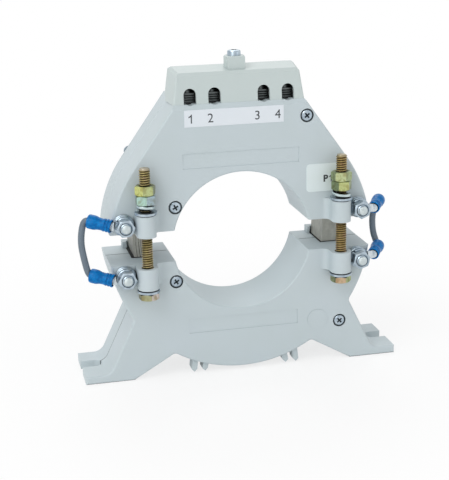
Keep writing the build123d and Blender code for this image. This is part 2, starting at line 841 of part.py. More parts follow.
def add_spring_washer(plane, turn):
    """Spring ring, pressed flat, with its narrow slit turned to one side."""
    hole_diameter = bolt_diameter + washer_hole_clearance
    add_washer(plane, spring_washer_diameter, hole_diameter, spring_washer_thickness)
    with BuildSketch(plane) as slit:
        with Locations(Location((0, 0, 0), (0, 0, turn))):
            Rectangle(spring_washer_diameter, spring_washer_slit, align=(Align.MIN, Align.CENTER))
    extrude(slit.sketch, amount=spring_washer_thickness, mode=Mode.SUBTRACT)


def bevelled_hexagon(height):
    """Hexagon on the ground plane with both rims bevelled to a circle, as on a bolt head or nut."""
    corner_radius = hex_across_flats / sqrt(3)
    bevel = corner_radius - hex_across_flats / 2
    bevel_height = bevel * tan(radians(rim_bevel_angle))
    with BuildPart() as hexagon:
        with BuildSketch():
            RegularPolygon(hex_across_flats / 2, 6, major_radius=False)
        extrude(amount=height)
        with BuildSketch(Plane.XZ) as profile:
            with BuildLine():
                Polyline(
                    (0, 0),
                    (corner_radius - bevel, 0),
                    (corner_radius, bevel_height),
                    (corner_radius, height - bevel_height),
                    (corner_radius - bevel, height),
                    (0, height),
                    close=True,
                )
            make_face()
        revolve(axis=Axis.Z, mode=Mode.INTERSECT)
    return hexagon.part


bolt_head_hexagon = bevelled_hexagon(bolt_head_height - washer_face_height)
bolt_nut_hexagon = bevelled_hexagon(bolt_nut_height)
stud_nut_hexagon = bevelled_hexagon(stud_nut_height)


def add_hexagon(plane, hexagon, turn):
    """Hexagon set on the plane and turned about its axis."""
    with Locations(plane.location * Location((0, 0, 0), (0, 0, turn))):
        add(hexagon)


def add_nut(plane, hexagon, height, turn):
    """Hexagon nut that stands on the plane, bored clear of the bolt."""
    add_hexagon(plane, hexagon, turn)
    with BuildSketch(plane) as bore:
        Circle(bolt_diameter / 2 + thread_clearance)
    extrude(bore.sketch, amount=height, mode=Mode.SUBTRACT)


def add_rod(plane, length):
    """Bolt or stud shank from the plane, with a bevelled end."""
    with BuildSketch(plane) as section:
        Circle(bolt_diameter / 2)
    rod = extrude(section.sketch, amount=length)
    chamfer(rod.edges().sort_by(Axis(plane.origin, plane.z_dir))[-1], end_chamfer)


sides = (("left", -1), ("right", 1))
fasteners = []


def keep(piece, name):
    piece.label = name
    fasteners.append(piece)


# Clamp bolts: each passes up through both bosses, with two nuts above the upper one

for side_name, side in sides:
    bolt_x = side * boss_x
    head_z = -boss_top_z - flat_washer_thickness
    washer_top_z = boss_top_z + flat_washer_thickness
    nut_z = washer_top_z + spring_washer_free_height

    with BuildPart() as clamp_bolt:
        add_rod(Plane((bolt_x, boss_y, head_z)), bolt_length)
        add_hexagon(Plane((bolt_x, boss_y, head_z - bolt_head_height)), bolt_head_hexagon, nut_turn)
        with BuildSketch(Plane.XY.offset(head_z)):
            with Locations((bolt_x, boss_y)):
                Circle(washer_face_diameter / 2)
        extrude(amount=-2 * washer_face_height)
    keep(clamp_bolt.part, side_name + "_clamp_bolt")

    for name, z, thickness in (
        ("head_washer", head_z, flat_washer_thickness),
        ("top_washer", boss_top_z, flat_washer_thickness),
    ):
        with BuildPart() as washer:
            add_washer(
                Plane((bolt_x, boss_y, z)),
                bolt_washer_diameter,
                bolt_diameter + washer_hole_clearance,
                thickness,
            )
        keep(washer.part, side_name + "_" + name)

    with BuildPart() as bolt_spring_washer:
        add_open_spring_washer(Plane((bolt_x, boss_y, washer_top_z)), bolt_slit_turn[side])
    keep(bolt_spring_washer.part, side_name + "_bolt_spring_washer")

    for name, z, turn in (
        ("clamp_nut", nut_z, nut_turn),
        ("lock_nut", nut_z + bolt_nut_height, nut_turn + lock_nut_turn),
    ):
        with BuildPart() as nut:
            add_nut(Plane((bolt_x, boss_y, z)), bolt_nut_hexagon, bolt_nut_height, turn)
        keep(nut.part, side_name + "_" + name)

# Jumper studs, each with two washers, a spring washer and a nut that hold the lug


def stud_plane(side, half, y):
    """Plane across a stud's axis at depth y, facing forwards."""
    return Plane((side * stud_x, y, half * stud_z), x_dir=(1, 0, 0), z_dir=(0, -1, 0))


inner_washer_y = face_y
outer_washer_y = lug_front_y
stud_spring_y = outer_washer_y - flat_washer_thickness
stud_nut_y = stud_spring_y - spring_washer_thickness
corners = [(f"{height}_{side_name}", side, half) for height, half in (("upper", 1), ("lower", -1))
           for side_name, side in sides]

for corner_name, side, half in corners:
    with BuildPart() as stud:
        add_rod(stud_plane(side, half, face_y + stud_embedment), stud_embedment + stud_reach)
    keep(stud.part, corner_name + "_stud")

    with BuildPart() as stud_nut:
        add_nut(stud_plane(side, half, stud_nut_y), stud_nut_hexagon, stud_nut_height, stud_nut_turn)
    keep(stud_nut.part, corner_name + "_stud_nut")

with BuildPart() as stud_washers:
    for corner_name, side, half in corners:
        for y in (inner_washer_y, outer_washer_y):
            add_washer(
                stud_plane(side, half, y),
                stud_washer_diameter,
                bolt_diameter + washer_hole_clearance,
                flat_washer_thickness,
            )

with BuildPart() as stud_spring_washers:
    for corner_name, side, half in corners:
        add_spring_washer(stud_plane(side, half, stud_spring_y), stud_slit_turn)


# Ring lugs with crimped sleeves, and the wires between them

def lug_start(side, half):
    """Where the lug's barrel begins, beside its stud."""
    reach = lug_reach[side, half]
    return Vector(side * (stud_x + reach[0]), lug_middle_y - reach[1], half * stud_z + reach[2])


def lug_direction(side):
    """Unit vector along the lug's barrel, away from the stud."""
    return Vector(*lug_heading[side]).normalized()


def add_crimped_sleeve(plane):
    """Tube with a waist and a fuller bell, bored for the barrel, the wire and the wire's bend."""
    full = sleeve_diameter / 2
    waist = sleeve_waist_diameter / 2
    bell = sleeve_bell_diameter / 2
    bore = wire_diameter / 2 + wire_fit
    barrel_bore = lug_barrel_diameter / 2 + wire_fit
    barrel_end = lug_barrel_length + wire_fit
    mouth = sleeve_start + sleeve_length
    with BuildSketch(Plane(plane.origin, x_dir=plane.x_dir, z_dir=-plane.y_dir)) as profile:
        with BuildLine():
            Polyline(
                (barrel_bore, sleeve_start),
                (full, sleeve_start),
                (full, sleeve_start + 0.3 * sleeve_length),
            )
            Spline(
                (full, sleeve_start + 0.3 * sleeve_length),
                (waist, sleeve_start + 0.5 * sleeve_length),
                (bell, sleeve_start + 0.72 * sleeve_length),
                tangents=((0, 1), (0, 1)),
            )
            Polyline(
                (bell, sleeve_start + 0.72 * sleeve_length),
                (bell, mouth),
                (sleeve_mouth_diameter / 2, mouth),
                (bore, mouth - bell_depth),
                (bore, barrel_end),
                (barrel_bore, barrel_end),
                (barrel_bore, sleeve_start),
            )
        make_face()
    revolve(profile.sketch, axis=Axis(plane.origin, plane.z_dir))


for corner_name, side, half in corners:
    start = lug_start(side, half)
    barrel_plane = Plane(start, z_dir=lug_direction(side))

    with BuildPart() as lug:
        with BuildSketch(face_plane(lug_front_y + lug_thickness)):
            with Locations((side * stud_x, half * stud_z)):
                Circle(lug_ring_diameter / 2)
            run = (start.X - side * stud_x, start.Z - half * stud_z)
            neck_length = sqrt(run[0] ** 2 + run[1] ** 2)
            neck_turn = degrees(atan2(run[1], run[0]))
            with Locations(Location((side * stud_x, half * stud_z, 0), (0, 0, neck_turn))):
                Rectangle(neck_length, lug_neck_width, align=(Align.MIN, Align.CENTER))
        extrude(amount=lug_thickness)
        # The neck rises from the plate into the barrel just beyond the washers
        rise_from = stud_washer_diameter / 2 + wire_fit
        with BuildSketch(face_plane(lug_front_y + lug_thickness)):
            with Locations(Location((side * stud_x, half * stud_z, 0), (0, 0, neck_turn))):
                with Locations((rise_from, 0)):
                    Rectangle(
                        neck_length + over - rise_from, lug_barrel_diameter, align=(Align.MIN, Align.CENTER)
                    )
        extrude(amount=lug_front_y + lug_thickness - start.Y)
        with BuildSketch(barrel_plane.offset(sleeve_start - wire_fit)):
            Circle(lug_ring_diameter)
        extrude(amount=lug_ring_diameter, mode=Mode.SUBTRACT)
        with BuildSketch(barrel_plane):
            Circle(lug_barrel_diameter / 2)
        extrude(amount=lug_barrel_length)
        with BuildSketch(stud_plane(side, half, lug_front_y + lug_thickness)):
            Circle((bolt_diameter + washer_hole_clearance) / 2)
        extrude(amount=lug_thickness, mode=Mode.SUBTRACT)
    keep(lug.part, corner_name + "_lug")

    with BuildPart() as sleeve:
        add_crimped_sleeve(barrel_plane)
    keep(sleeve.part, corner_name + "_sleeve")


def wire_path(side, points):
    """Ends inside the two sleeves, with the chosen points between them."""
    heading = lug_direction(side)
    starts = [lug_start(side, half) for half in (1, -1)]
    ends = [start + heading * (lug_barrel_length + wire_fit / 2) for start in starts]
    bells = [start + heading * (sleeve_start + sleeve_length - bell_depth + over) for start in starts]
    corners = [Vector(side * (stud_x + outward), y, z) for outward, y, z in points]
    free = [bells[0]] + corners + [bells[1]]
    radii = []
    for place, (before, here, after) in enumerate(zip(free, free[1:], free[2:])):
        share_in = 1 if place == 0 else run_share
        share_out = 1 if place == len(corners) - 1 else run_share
        reach = min(share_in * (here - before).length, share_out * (after - here).length)
        turn = (here - before).get_angle(after - here)
        radii.append(reach / tan(radians(turn / 2)))
    print("wire radii", [round(radius, 1) for radius in radii])
    with BuildLine() as path:
        FilletPolyline(ends[0], *corners, ends[1], radius=radii)
    return path.line


for side_name, side in sides:
    path = wire_path(side, wire_points[side])
    with BuildPart() as jumper_wire:
        with BuildSketch(Plane(path @ 0, z_dir=path % 0)):
            Circle(wire_diameter / 2)
        sweep(path=path)
    wire_length = sum(edge.length for edge in path.edges())
    tube_volume = wire_length * pi * wire_diameter**2 / 4
    volume_ratio = jumper_wire.part.volume / tube_volume
    print(side_name, "wire length", round(wire_length, 1), "volume ratio", round(volume_ratio, 4))
    keep(jumper_wire.part, side_name + "_jumper_wire")

# Write every piece to its own file

os.makedirs("parts", exist_ok=True)
singles = {
    "upper_front_shell": upper_front_shell.part,
    "upper_rear_shell": upper_rear_shell.part,
    "lower_front_shell": lower_front_shell.part,
    "lower_rear_shell": lower_rear_shell.part,
    "upper_core": upper_core.part,
    "lower_core": lower_core.part,
    "upper_winding": upper_winding.part,
    "lower_winding": lower_winding.part,
    "winding_leads": winding_leads.part,
    "terminal_block": terminal_block.part,
    "terminal_cover": terminal_cover.part,
    "cover_screw": cover_screw.part,
    "number_tape": number_tape.part,
    "side_label": side_label.part,
    "front_shell_screws": front_shell_screws.part,
    "rear_shell_screws": rear_shell_screws.part,
    "stud_washers": stud_washers.part,
    "stud_spring_washers": stud_spring_washers.part,
}
for name, piece in singles.items():
    piece.label = name
for piece in list(singles.values()) + terminals + fasteners:
    export_step(piece, f"parts/{piece.label}.step")
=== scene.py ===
import math

import bmesh
import bpy
from mathutils import Matrix, Vector


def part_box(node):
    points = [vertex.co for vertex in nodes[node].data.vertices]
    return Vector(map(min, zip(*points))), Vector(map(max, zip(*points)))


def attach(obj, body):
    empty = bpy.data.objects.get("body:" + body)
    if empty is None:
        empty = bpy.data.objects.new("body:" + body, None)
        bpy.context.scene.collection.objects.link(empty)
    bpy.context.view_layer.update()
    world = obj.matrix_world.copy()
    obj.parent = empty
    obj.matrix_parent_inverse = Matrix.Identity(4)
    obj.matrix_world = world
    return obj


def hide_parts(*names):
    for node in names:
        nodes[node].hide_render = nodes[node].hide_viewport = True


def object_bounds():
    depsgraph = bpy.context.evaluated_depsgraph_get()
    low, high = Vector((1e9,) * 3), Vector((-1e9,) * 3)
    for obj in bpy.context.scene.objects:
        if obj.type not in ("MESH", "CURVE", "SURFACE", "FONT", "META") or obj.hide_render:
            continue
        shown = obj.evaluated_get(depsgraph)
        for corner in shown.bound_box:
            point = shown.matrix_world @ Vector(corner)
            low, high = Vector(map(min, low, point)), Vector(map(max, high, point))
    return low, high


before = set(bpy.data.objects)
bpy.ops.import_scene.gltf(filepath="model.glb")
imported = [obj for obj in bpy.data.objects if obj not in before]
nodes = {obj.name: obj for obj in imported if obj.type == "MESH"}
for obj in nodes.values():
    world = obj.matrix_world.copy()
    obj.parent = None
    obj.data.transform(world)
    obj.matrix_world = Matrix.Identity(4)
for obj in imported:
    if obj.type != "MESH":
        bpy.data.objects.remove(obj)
cad_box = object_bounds()

# Camera
# It looks at the front of the transformer from a little left of the middle and from above, and is
# turned slightly about its own axis, as the photograph was.
mm = 0.001
azimuth = math.radians(-12.99)
elevation = math.radians(16.19)
roll = math.radians(-1.12)
camera_target = Vector((-7.57, 0.0, -6.26)) * mm
camera_distance = 901.9 * mm
back = Vector(
    (
        math.sin(azimuth) * math.cos(elevation),
        -math.cos(azimuth) * math.cos(elevation),
        math.sin(elevation),
    )
)
right = Vector((math.cos(azimuth), math.sin(azimuth), 0.0))
up = back.cross(right)
rolled_right = math.cos(roll) * right + math.sin(roll) * up
rolled_up = back.cross(rolled_right)
camera_data = bpy.data.cameras.new("camera")
camera_data.sensor_width = 36.0
camera_data.lens = 91.02
camera_data.clip_start = 0.01
camera_data.clip_end = 20.0
camera = bpy.data.objects.new("camera", camera_data)
bpy.context.collection.objects.link(camera)
camera.matrix_world = (
    Matrix.Translation(camera_target + back * camera_distance)
    @ Matrix((rolled_right, rolled_up, back)).transposed().to_4x4()
)
bpy.context.scene.camera = camera
bpy.context.scene.view_settings.view_transform = "Standard"

# Studio
# A round pale floor that fades to white round the object, a white surround, and four soft
# panels: a large one above on the left, a low one that lights the gap between the halves, a weaker
# one on the right and one behind for the rims.


def linear(code):
    """Linear colour, with alpha, of an sRGB hex value such as #a0b1c2."""
    parts = [int(code[place : place + 2], 16) / 255 for place in (1, 3, 5)]
    levels = [p / 12.92 if p <= 0.04045 else ((p + 0.055) / 1.055) ** 2.4 for p in parts]
    return (*levels, 1.0)


def add_node(tree, kind, inputs=None, tones=(), **settings):
    """Adds a node with its settings; each input is a value, a hex colour or a socket to link
    from, and the tones are a ramp's stops, each a place and a hex colour."""
    node = tree.nodes.new(kind)
    for name, value in settings.items():
        setattr(node, name, value)
    for socket, value in (inputs or {}).items():
        if isinstance(value, bpy.types.NodeSocket):
            tree.links.new(value, node.inputs[socket])
        elif isinstance(value, str):
            node.inputs[socket].default_value = linear(value)
        else:
            node.inputs[socket].default_value = value
    for number, (place, tone) in enumerate(tones):
        stops = node.color_ramp.elements
        stop = stops[number] if number < 2 else stops.new(place)
        stop.position = place
        stop.color = linear(tone)
    return node


def keep_mesh(bm, name, material, sharp_angle=30.0):
    """Turns a finished bmesh into an object at the origin, smooth but for edges past the angle."""
    mesh = bpy.data.meshes.new(name)
    bm.to_mesh(mesh)
    bm.free()
    mesh.shade_smooth()
    mesh.set_sharp_from_angle(angle=math.radians(sharp_angle))
    mesh.materials.append(material)
    piece = bpy.data.objects.new(name, mesh)
    bpy.context.collection.objects.link(piece)
    return piece


def seen_directly(tree):
    """1 for rays from the camera, off gloss and through glass, which see the plain white."""
    path = add_node(tree, "ShaderNodeLightPath")
    seen = path.outputs["Is Camera Ray"]
    for ray in ("Is Glossy Ray", "Is Transmission Ray"):
        either = add_node(
            tree, "ShaderNodeMath", {0: seen, 1: path.outputs[ray]}, operation="MAXIMUM"
        )
        seen = either.outputs[0]
    return seen


# The floor fades from a nearly white middle, which keeps the shadow, to pure white, in metres
floor_radius = 1.4
fade_from = 0.1
fade_to = 0.4
least_fade = 0.75

floor_finish = bpy.data.materials.new("pale_floor")
floor_finish.use_nodes = True
tree = floor_finish.node_tree
tree.nodes.remove(tree.nodes["Principled BSDF"])
place = add_node(tree, "ShaderNodeTexCoord")
reach = add_node(tree, "ShaderNodeVectorMath", {0: place.outputs["Object"]}, operation="LENGTH")
fade = add_node(
    tree,
    "ShaderNodeMapRange",
    {
        "Value": reach.outputs["Value"],
        "From Min": fade_from,
        "From Max": fade_to,
        "To Min": least_fade,
    },
    interpolation_type="SMOOTHSTEP",
)
share = add_node(
    tree,
    "ShaderNodeMath",
    {0: fade.outputs["Result"], 1: seen_directly(tree)},
    operation="MULTIPLY",
)
diffuse = add_node(tree, "ShaderNodeBsdfDiffuse", {"Color": "#fbfbfb"})
glow = add_node(tree, "ShaderNodeEmission", {"Color": "#ffffff", "Strength": 1.0})
mixed = add_node(
    tree,
    "ShaderNodeMixShader",
    {0: share.outputs[0], 1: diffuse.outputs[0], 2: glow.outputs[0]},
)
tree.links.new(mixed.outputs[0], tree.nodes["Material Output"].inputs["Surface"])

bm = bmesh.new()
bmesh.ops.create_circle(bm, cap_ends=True, radius=floor_radius, segments=96)
bmesh.ops.translate(bm, vec=(0.0, 0.0, cad_box[0].z), verts=bm.verts)
floor = keep_mesh(bm, "floor", floor_finish)

world = bpy.data.worlds.new("white_surround")
world.use_nodes = True
bpy.context.scene.world = world
tree = world.node_tree
ambient = 0.61
level = add_node(
    tree,
    "ShaderNodeMapRange",
    {"Value": seen_directly(tree), "To Min": ambient, "To Max": 1.0},
)
surround = tree.nodes["Background"]
surround.inputs["Color"].default_value = linear("#ffffff")
tree.links.new(level.outputs["Result"], surround.inputs["Strength"])

# Place in metres, size in metres and power in watts of each panel; all face the object's middle
for name, spot, size, power in (
    ("key_panel", (-1.3, -1.0, 1.7), 1.3, 17.0),
    ("low_panel", (-1.2, -1.5, 0.2), 1.0, 5.0),
    ("fill_panel", (1.6, -1.5, 0.5), 1.2, 3.0),
    ("rear_panel", (0.3, 1.5, 1.6), 1.0, 9.0),
):
    panel = bpy.data.lights.new(name, "AREA")
    panel.size = size
    panel.energy = power
    lamp = bpy.data.objects.new(name, panel)
    lamp.location = spot
    lamp.rotation_mode = "QUATERNION"
    lamp.rotation_quaternion = Vector(spot).to_track_quat("Z", "Y")
    bpy.context.collection.objects.link(lamp)

# Housing shells
# Four moulded shells of pale grey ABS, filled with resin. The mould leaves a fine even grain and
# the resin behind the walls lets the tint wander a little between greenish and bluish grey.


def new_material(name, values):
    """Material with one Principled shader; returns the material, its node tree and the shader."""
    material = bpy.data.materials.new(name)
    material.use_nodes = True
    shader = material.node_tree.nodes["Principled BSDF"]
    for socket, value in values.items():
        shader.inputs[socket].default_value = value
    return material, material.node_tree, shader


def dress(material, *names):
    """Puts a material into the slots of CAD nodes."""
    for name in names:
        for slot in nodes[name].material_slots:
            slot.material = material


def with_grime(tree, tint, painted_shade, reach, shut, open_from):
    """The tint, darkened by painted shade in joints and recesses narrower than about the reach:
    fully below the openness shut, not at all above open_from."""
    around = add_node(tree, "ShaderNodeAmbientOcclusion", {"Distance": reach}, samples=8)
    unmarked = add_node(
        tree,
        "ShaderNodeMapRange",
        {"Value": around.outputs["AO"], "From Min": shut, "From Max": open_from},
    )
    shaded = add_node(
        tree, "ShaderNodeMix", {0: unmarked.outputs["Result"], 6: painted_shade, 7: tint}, data_type="RGBA"
    )
    return shaded.outputs[2]


def clouded_material(name, values, patch, tones, painted_shade=None, detail=2.0):
    """Material that drifts between two tones in patches of about the given size; painted shade in
    its hollows, if any, is its tone, reach and two limits of openness."""
    material, tree, shader = new_material(name, values)
    place = add_node(tree, "ShaderNodeTexCoord").outputs["Object"]
    cloud = add_node(
        tree, "ShaderNodeTexNoise", {"Vector": place, "Scale": 1.0 / patch, "Detail": detail}
    )
    drift = add_node(
        tree,
        "ShaderNodeMix",
        {0: cloud.outputs["Fac"], 6: tones[0], 7: tones[1]},
        data_type="RGBA",
    )
    tint = drift.outputs[2]
    if painted_shade:
        tint = with_grime(tree, tint, *painted_shade)
    tree.links.new(tint, shader.inputs["Base Color"])
    return material


# The mould's grain is about 0.1 mm across, and is drawn at 0.9 mm so that it shows
mould_grain = 0.9 * mm


def add_grain(material, strength):
    """Fine grain that the mould leaves on a plastic face."""
    tree = material.node_tree
    place = add_node(tree, "ShaderNodeTexCoord").outputs["Object"]
    grain = add_node(
        tree, "ShaderNodeTexNoise", {"Vector": place, "Scale": 1.0 / mould_grain, "Detail": 2.0}
    )
    bump = add_node(
        tree,
        "ShaderNodeBump",
        {"Height": grain.outputs["Fac"], "Strength": strength, "Distance": 0.05 * mm},
    )
    tree.links.new(bump.outputs["Normal"], tree.nodes["Principled BSDF"].inputs["Normal"])


# ABS, moulded: soft even sheen, a tint that drifts over 35 mm, and painted shade in the corners
moulded_abs = clouded_material(
    "moulded_grey_abs",
    {"Roughness": 0.5, "IOR": 1.53},
    35 * mm,
    ("#c2cdd3", "#bdc9cb"),
    ("#2c353a", 2.2 * mm, 0.25, 0.54),
)
add_grain(moulded_abs, 0.12)
# Dust in the joint between the lower shells: a dark hairline at their parting plane, which is
# clean in the window, with a little to spare, and between the upper shells
parting_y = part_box("lower_front_shell")[1].y
joint_core = 0.25 * mm
joint_edge = 0.6 * mm
window_radius = 51.0 * mm
window_margin = 1.03
tree = moulded_abs.node_tree
base_colour = tree.nodes["Principled BSDF"].inputs["Base Color"]
face_tint = base_colour.links[0].from_socket
place = add_node(tree, "ShaderNodeTexCoord").outputs["Object"]
parts = add_node(tree, "ShaderNodeSeparateXYZ", {"Vector": place})
off_joint = add_node(
    tree, "ShaderNodeMath", {0: parts.outputs["Y"], 1: parting_y}, operation="SUBTRACT"
)
off_joint = add_node(tree, "ShaderNodeMath", {0: off_joint.outputs[0]}, operation="ABSOLUTE")
beside_joint = add_node(
    tree,
    "ShaderNodeMapRange",
    {"Value": off_joint.outputs[0], "From Min": joint_core, "From Max": joint_edge},
)
flat = add_node(tree, "ShaderNodeMapping", {"Vector": place, "Scale": (1.0, 0.0, 1.0)})
radius = add_node(tree, "ShaderNodeVectorMath", {0: flat.outputs["Vector"]}, operation="LENGTH")
in_window = add_node(
    tree,
    "ShaderNodeMath",
    {0: radius.outputs["Value"], 1: window_margin * window_radius},
    operation="LESS_THAN",
)
in_upper = add_node(
    tree, "ShaderNodeMath", {0: parts.outputs["Z"], 1: 0.0}, operation="GREATER_THAN"
)
unmarked = add_node(
    tree, "ShaderNodeMath", {0: in_window.outputs[0], 1: in_upper.outputs[0]}, operation="MAXIMUM"
)
unmarked = add_node(
    tree,
    "ShaderNodeMath",
    {0: unmarked.outputs[0], 1: beside_joint.outputs["Result"]},
    operation="MAXIMUM",
)
jointed = add_node(
    tree, "ShaderNodeMix", {0: unmarked.outputs[0], 6: "#262c30", 7: face_tint}, data_type="RGBA"
)
tree.links.new(jointed.outputs[2], base_colour)
dress(
    moulded_abs,
    "upper_front_shell",
    "upper_rear_shell",
    "lower_front_shell",
    "lower_rear_shell",
)

# Terminal cover
# One moulding of the same plastic over the terminals, held by a single screw through its boss. It
# comes from another batch, so it is a little paler and warmer than the shells.

# ABS, moulded: the shells' soft sheen and grain, with painted shade where the hood meets them
cover_abs = clouded_material(
    "cover_grey_abs",
    {"Roughness": 0.46, "IOR": 1.53},
    30 * mm,
    ("#c3cecc", "#bfcaca"),
    ("#3d4648", 1.6 * mm, 0.25, 0.6),
)
add_grain(cover_abs, 0.1)
dress(cover_abs, "terminal_cover")

# Core halves and windings
# The core is silicon steel strip wound into a ring, varnished and sawn in two, so its faces show
# the strip edges as fine rings. Copper wire under tape is wound round both halves.

# Varnished silicon steel: warm grey, each strip edge a little different, drawn 0.9 mm thick where
# the real ones are 0.3 mm. The turns of the left legs have come apart: the slits between them are
# faint in the upper half and nearly black in the lower one
strip_thickness = 0.9 * mm
for half, slit_tone in (("upper", "#77756e"), ("lower", "#262520")):
    core_steel, tree, shader = new_material(
        f"{half}_core_strip", {"Roughness": 0.5, "Metallic": 0.2}
    )
    place = add_node(tree, "ShaderNodeTexCoord").outputs["Object"]
    flat = add_node(tree, "ShaderNodeMapping", {"Vector": place, "Scale": (1.0, 0.0, 1.0)})
    turn_radius = add_node(
        tree, "ShaderNodeVectorMath", {0: flat.outputs["Vector"]}, operation="LENGTH"
    )
    strips = add_node(
        tree,
        "ShaderNodeTexNoise",
        {"W": turn_radius.outputs["Value"], "Scale": 1.0 / strip_thickness, "Detail": 1.0},
        noise_dimensions="1D",
    )
    varnish = add_node(
        tree, "ShaderNodeTexNoise", {"Vector": place, "Scale": 1.0 / (4 * mm), "Detail": 3.0}
    )
    edges = add_node(
        tree,
        "ShaderNodeMix",
        {0: varnish.outputs["Fac"], 6: "#84847d", 7: "#c2c2b9"},
        data_type="RGBA",
    )
    slit = add_node(
        tree,
        "ShaderNodeMapRange",
        {"Value": strips.outputs["Fac"], "From Min": 0.35, "From Max": 0.42},
    )
    along = add_node(tree, "ShaderNodeSeparateXYZ", {"Vector": place}).outputs["X"]
    tight = add_node(tree, "ShaderNodeMath", {0: along, 1: 0.0}, operation="GREATER_THAN")
    tight = add_node(
        tree,
        "ShaderNodeMath",
        {0: tight.outputs[0], 1: slit.outputs["Result"]},
        operation="MAXIMUM",
    )
    slits = add_node(
        tree,
        "ShaderNodeMix",
        {0: tight.outputs[0], 6: slit_tone, 7: edges.outputs[2]},
        data_type="RGBA",
    )
    # Painted shade darkens the strip edges in narrow gaps and near the shells
    strip_tone = with_grime(tree, slits.outputs[2], "#15140f", 2 * mm, 0.2, 0.6)
    tree.links.new(strip_tone, shader.inputs["Base Color"])
    bump = add_node(
        tree,
        "ShaderNodeBump",
        {"Height": strips.outputs["Fac"], "Strength": 0.3, "Distance": 0.12 * mm},
    )
    tree.links.new(bump.outputs["Normal"], shader.inputs["Normal"])
    dress(core_steel, f"{half}_core")

# Painted shadow: dull black strips in the gap round each leg of the lower core, flush with the
# ledge that the leg comes out of, where that gap lies in shade
gap_shadow_black = clouded_material(
    "painted_gap_shadow", {"Roughness": 0.7}, 1.5 * mm, ("#0d0f10", "#1f2324")
)
leg_x = 71.7 * mm
gap_shadow_width = 14.6 * mm
gap_shadow_past_core = 0.7 * mm
gap_shadow_height = 0.5 * mm
core_low, core_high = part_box("lower_core")
ledge_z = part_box("lower_front_shell")[1].z
gap_shadow_depth = core_high.y - core_low.y + 2 * gap_shadow_past_core
bm = bmesh.new()
for side in (-1, 1):
    grown = bmesh.ops.create_cube(bm, size=1.0)["verts"]
    bmesh.ops.scale(bm, vec=(gap_shadow_width, gap_shadow_depth, gap_shadow_height), verts=grown)
    middle = (side * leg_x, (core_low.y + core_high.y) / 2, ledge_z)
    bmesh.ops.translate(bm, vec=middle, verts=grown)
gap_shadow = keep_mesh(bm, "core_gap_shadow", gap_shadow_black)
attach(gap_shadow, "root")

# Taped copper wire: dull yellowish brown with a broad wrap pattern
taped_wire = clouded_material(
    "taped_winding", {"Roughness": 0.6}, 3 * mm, ("#6f4a2a", "#a87a4c")
)
dress(taped_wire, "upper_winding", "lower_winding", "winding_leads")

# Terminal block, clamps and their screws
# A moulded block in the front shell's trough holds four steel clamps, one behind each cable
# entry, each with a cross-slotted screw that presses the wire down.

# Glass-filled nylon, moulded: nearly black and dull
black_nylon = clouded_material(
    "black_glass_nylon", {"Roughness": 0.62}, 1.2 * mm, ("#0c0e0f", "#1d2021")
)
dress(black_nylon, "terminal_block")

# Nickel-plated steel: greyish metal with a soft sheen, with painted shade that darkens it deep in
# the entries
plated_steel = clouded_material(
    "nickel_plated_steel",
    {"Roughness": 0.36, "Metallic": 0.9},
    2.5 * mm,
    ("#4a4f50", "#777c7c"),
    ("#0b0c0c", 6 * mm, 0.1, 0.8),
)
for number in range(1, 5):
    dress(plated_steel, f"terminal_clamp_{number}", f"terminal_screw_{number}")

# Zinc-plated washers
# Pressed steel washers of the clamp bolts and the jumper studs, and the studs' split washers, with
# rounded edges and bluish bright zinc. The screws and the stud nuts have the same plating.

# Bright zinc: cold bluish metal, cloudy over 3 mm, with painted shade where two pieces meet
bright_zinc = clouded_material(
    "bright_zinc_plate",
    {"Roughness": 0.3, "Metallic": 0.9},
    3 * mm,
    ("#75899a", "#d3dfe6"),
    ("#1c242a", 1.3 * mm, 0.15, 0.55),
    3.0,
)
for side in ("left", "right"):
    dress(bright_zinc, f"{side}_head_washer", f"{side}_top_washer")


def add_ring(bm, inner, outer, thickness, slit=0.0, rise=0.0, turn=0.0):
    """Washer up from the origin; with a slit, in degrees, a spring washer that may stand open."""
    soft = 0.25 * thickness
    section = (
        (inner, soft),
        (inner + soft, 0.0),
        (outer - soft, 0.0),
        (outer, soft),
        (outer, thickness - soft),
        (outer - soft, thickness),
        (inner + soft, thickness),
        (inner, thickness - soft),
    )
    corners = [bm.verts.new((radius, 0.0, level)) for radius, level in section]
    edges = [bm.edges.new((corners[i - 1], corners[i])) for i in range(len(corners))]
    opening = math.radians(360 - slit)
    bmesh.ops.spin(
        bm,
        geom=corners + edges,
        cent=(0.0, 0.0, 0.0),
        axis=(0.0, 0.0, -1.0),
        angle=opening,
        steps=96,
        use_merge=not slit,
    )
    bmesh.ops.holes_fill(bm, edges=[edge for edge in bm.edges if edge.is_boundary])
    # A left-hand turn that rises from the slit and lies flat at both ends; the first section may
    # come out as a full turn and then counts as none
    for vertex in bm.verts:
        share = (-math.atan2(vertex.co.y, vertex.co.x) % math.tau) / opening
        if share > 1.005:
            share = 0.0
        vertex.co.z += rise * share * share * (3 - 2 * share)
    bmesh.ops.rotate(bm, matrix=Matrix.Rotation(math.radians(turn), 3, "Z"), verts=bm.verts)
    bmesh.ops.recalc_face_normals(bm, faces=bm.faces)


def add_part(bm, part, place):
    """Adds a finished part to a mesh at its place, and frees the part."""
    bmesh.ops.transform(part, matrix=place, verts=part.verts)
    mesh = bpy.data.meshes.new("part")
    part.to_mesh(mesh)
    part.free()
    bm.from_mesh(mesh)
    bpy.data.meshes.remove(mesh)


washer_bore = 4.2 * mm
washer_radius = 7.4 * mm
washer_thickness = 1.6 * mm
spring_radius = 6.8 * mm
spring_thickness = 2.1 * mm
# Width in degrees of the slit of a spring washer that is pressed flat
flattened_slit = 14.0
# Depth of the back of each washer on the studs: one behind the lug, one in front, then the spring
washer_backs = (-26.0 * mm, -29.4 * mm)
spring_back = -31.0 * mm
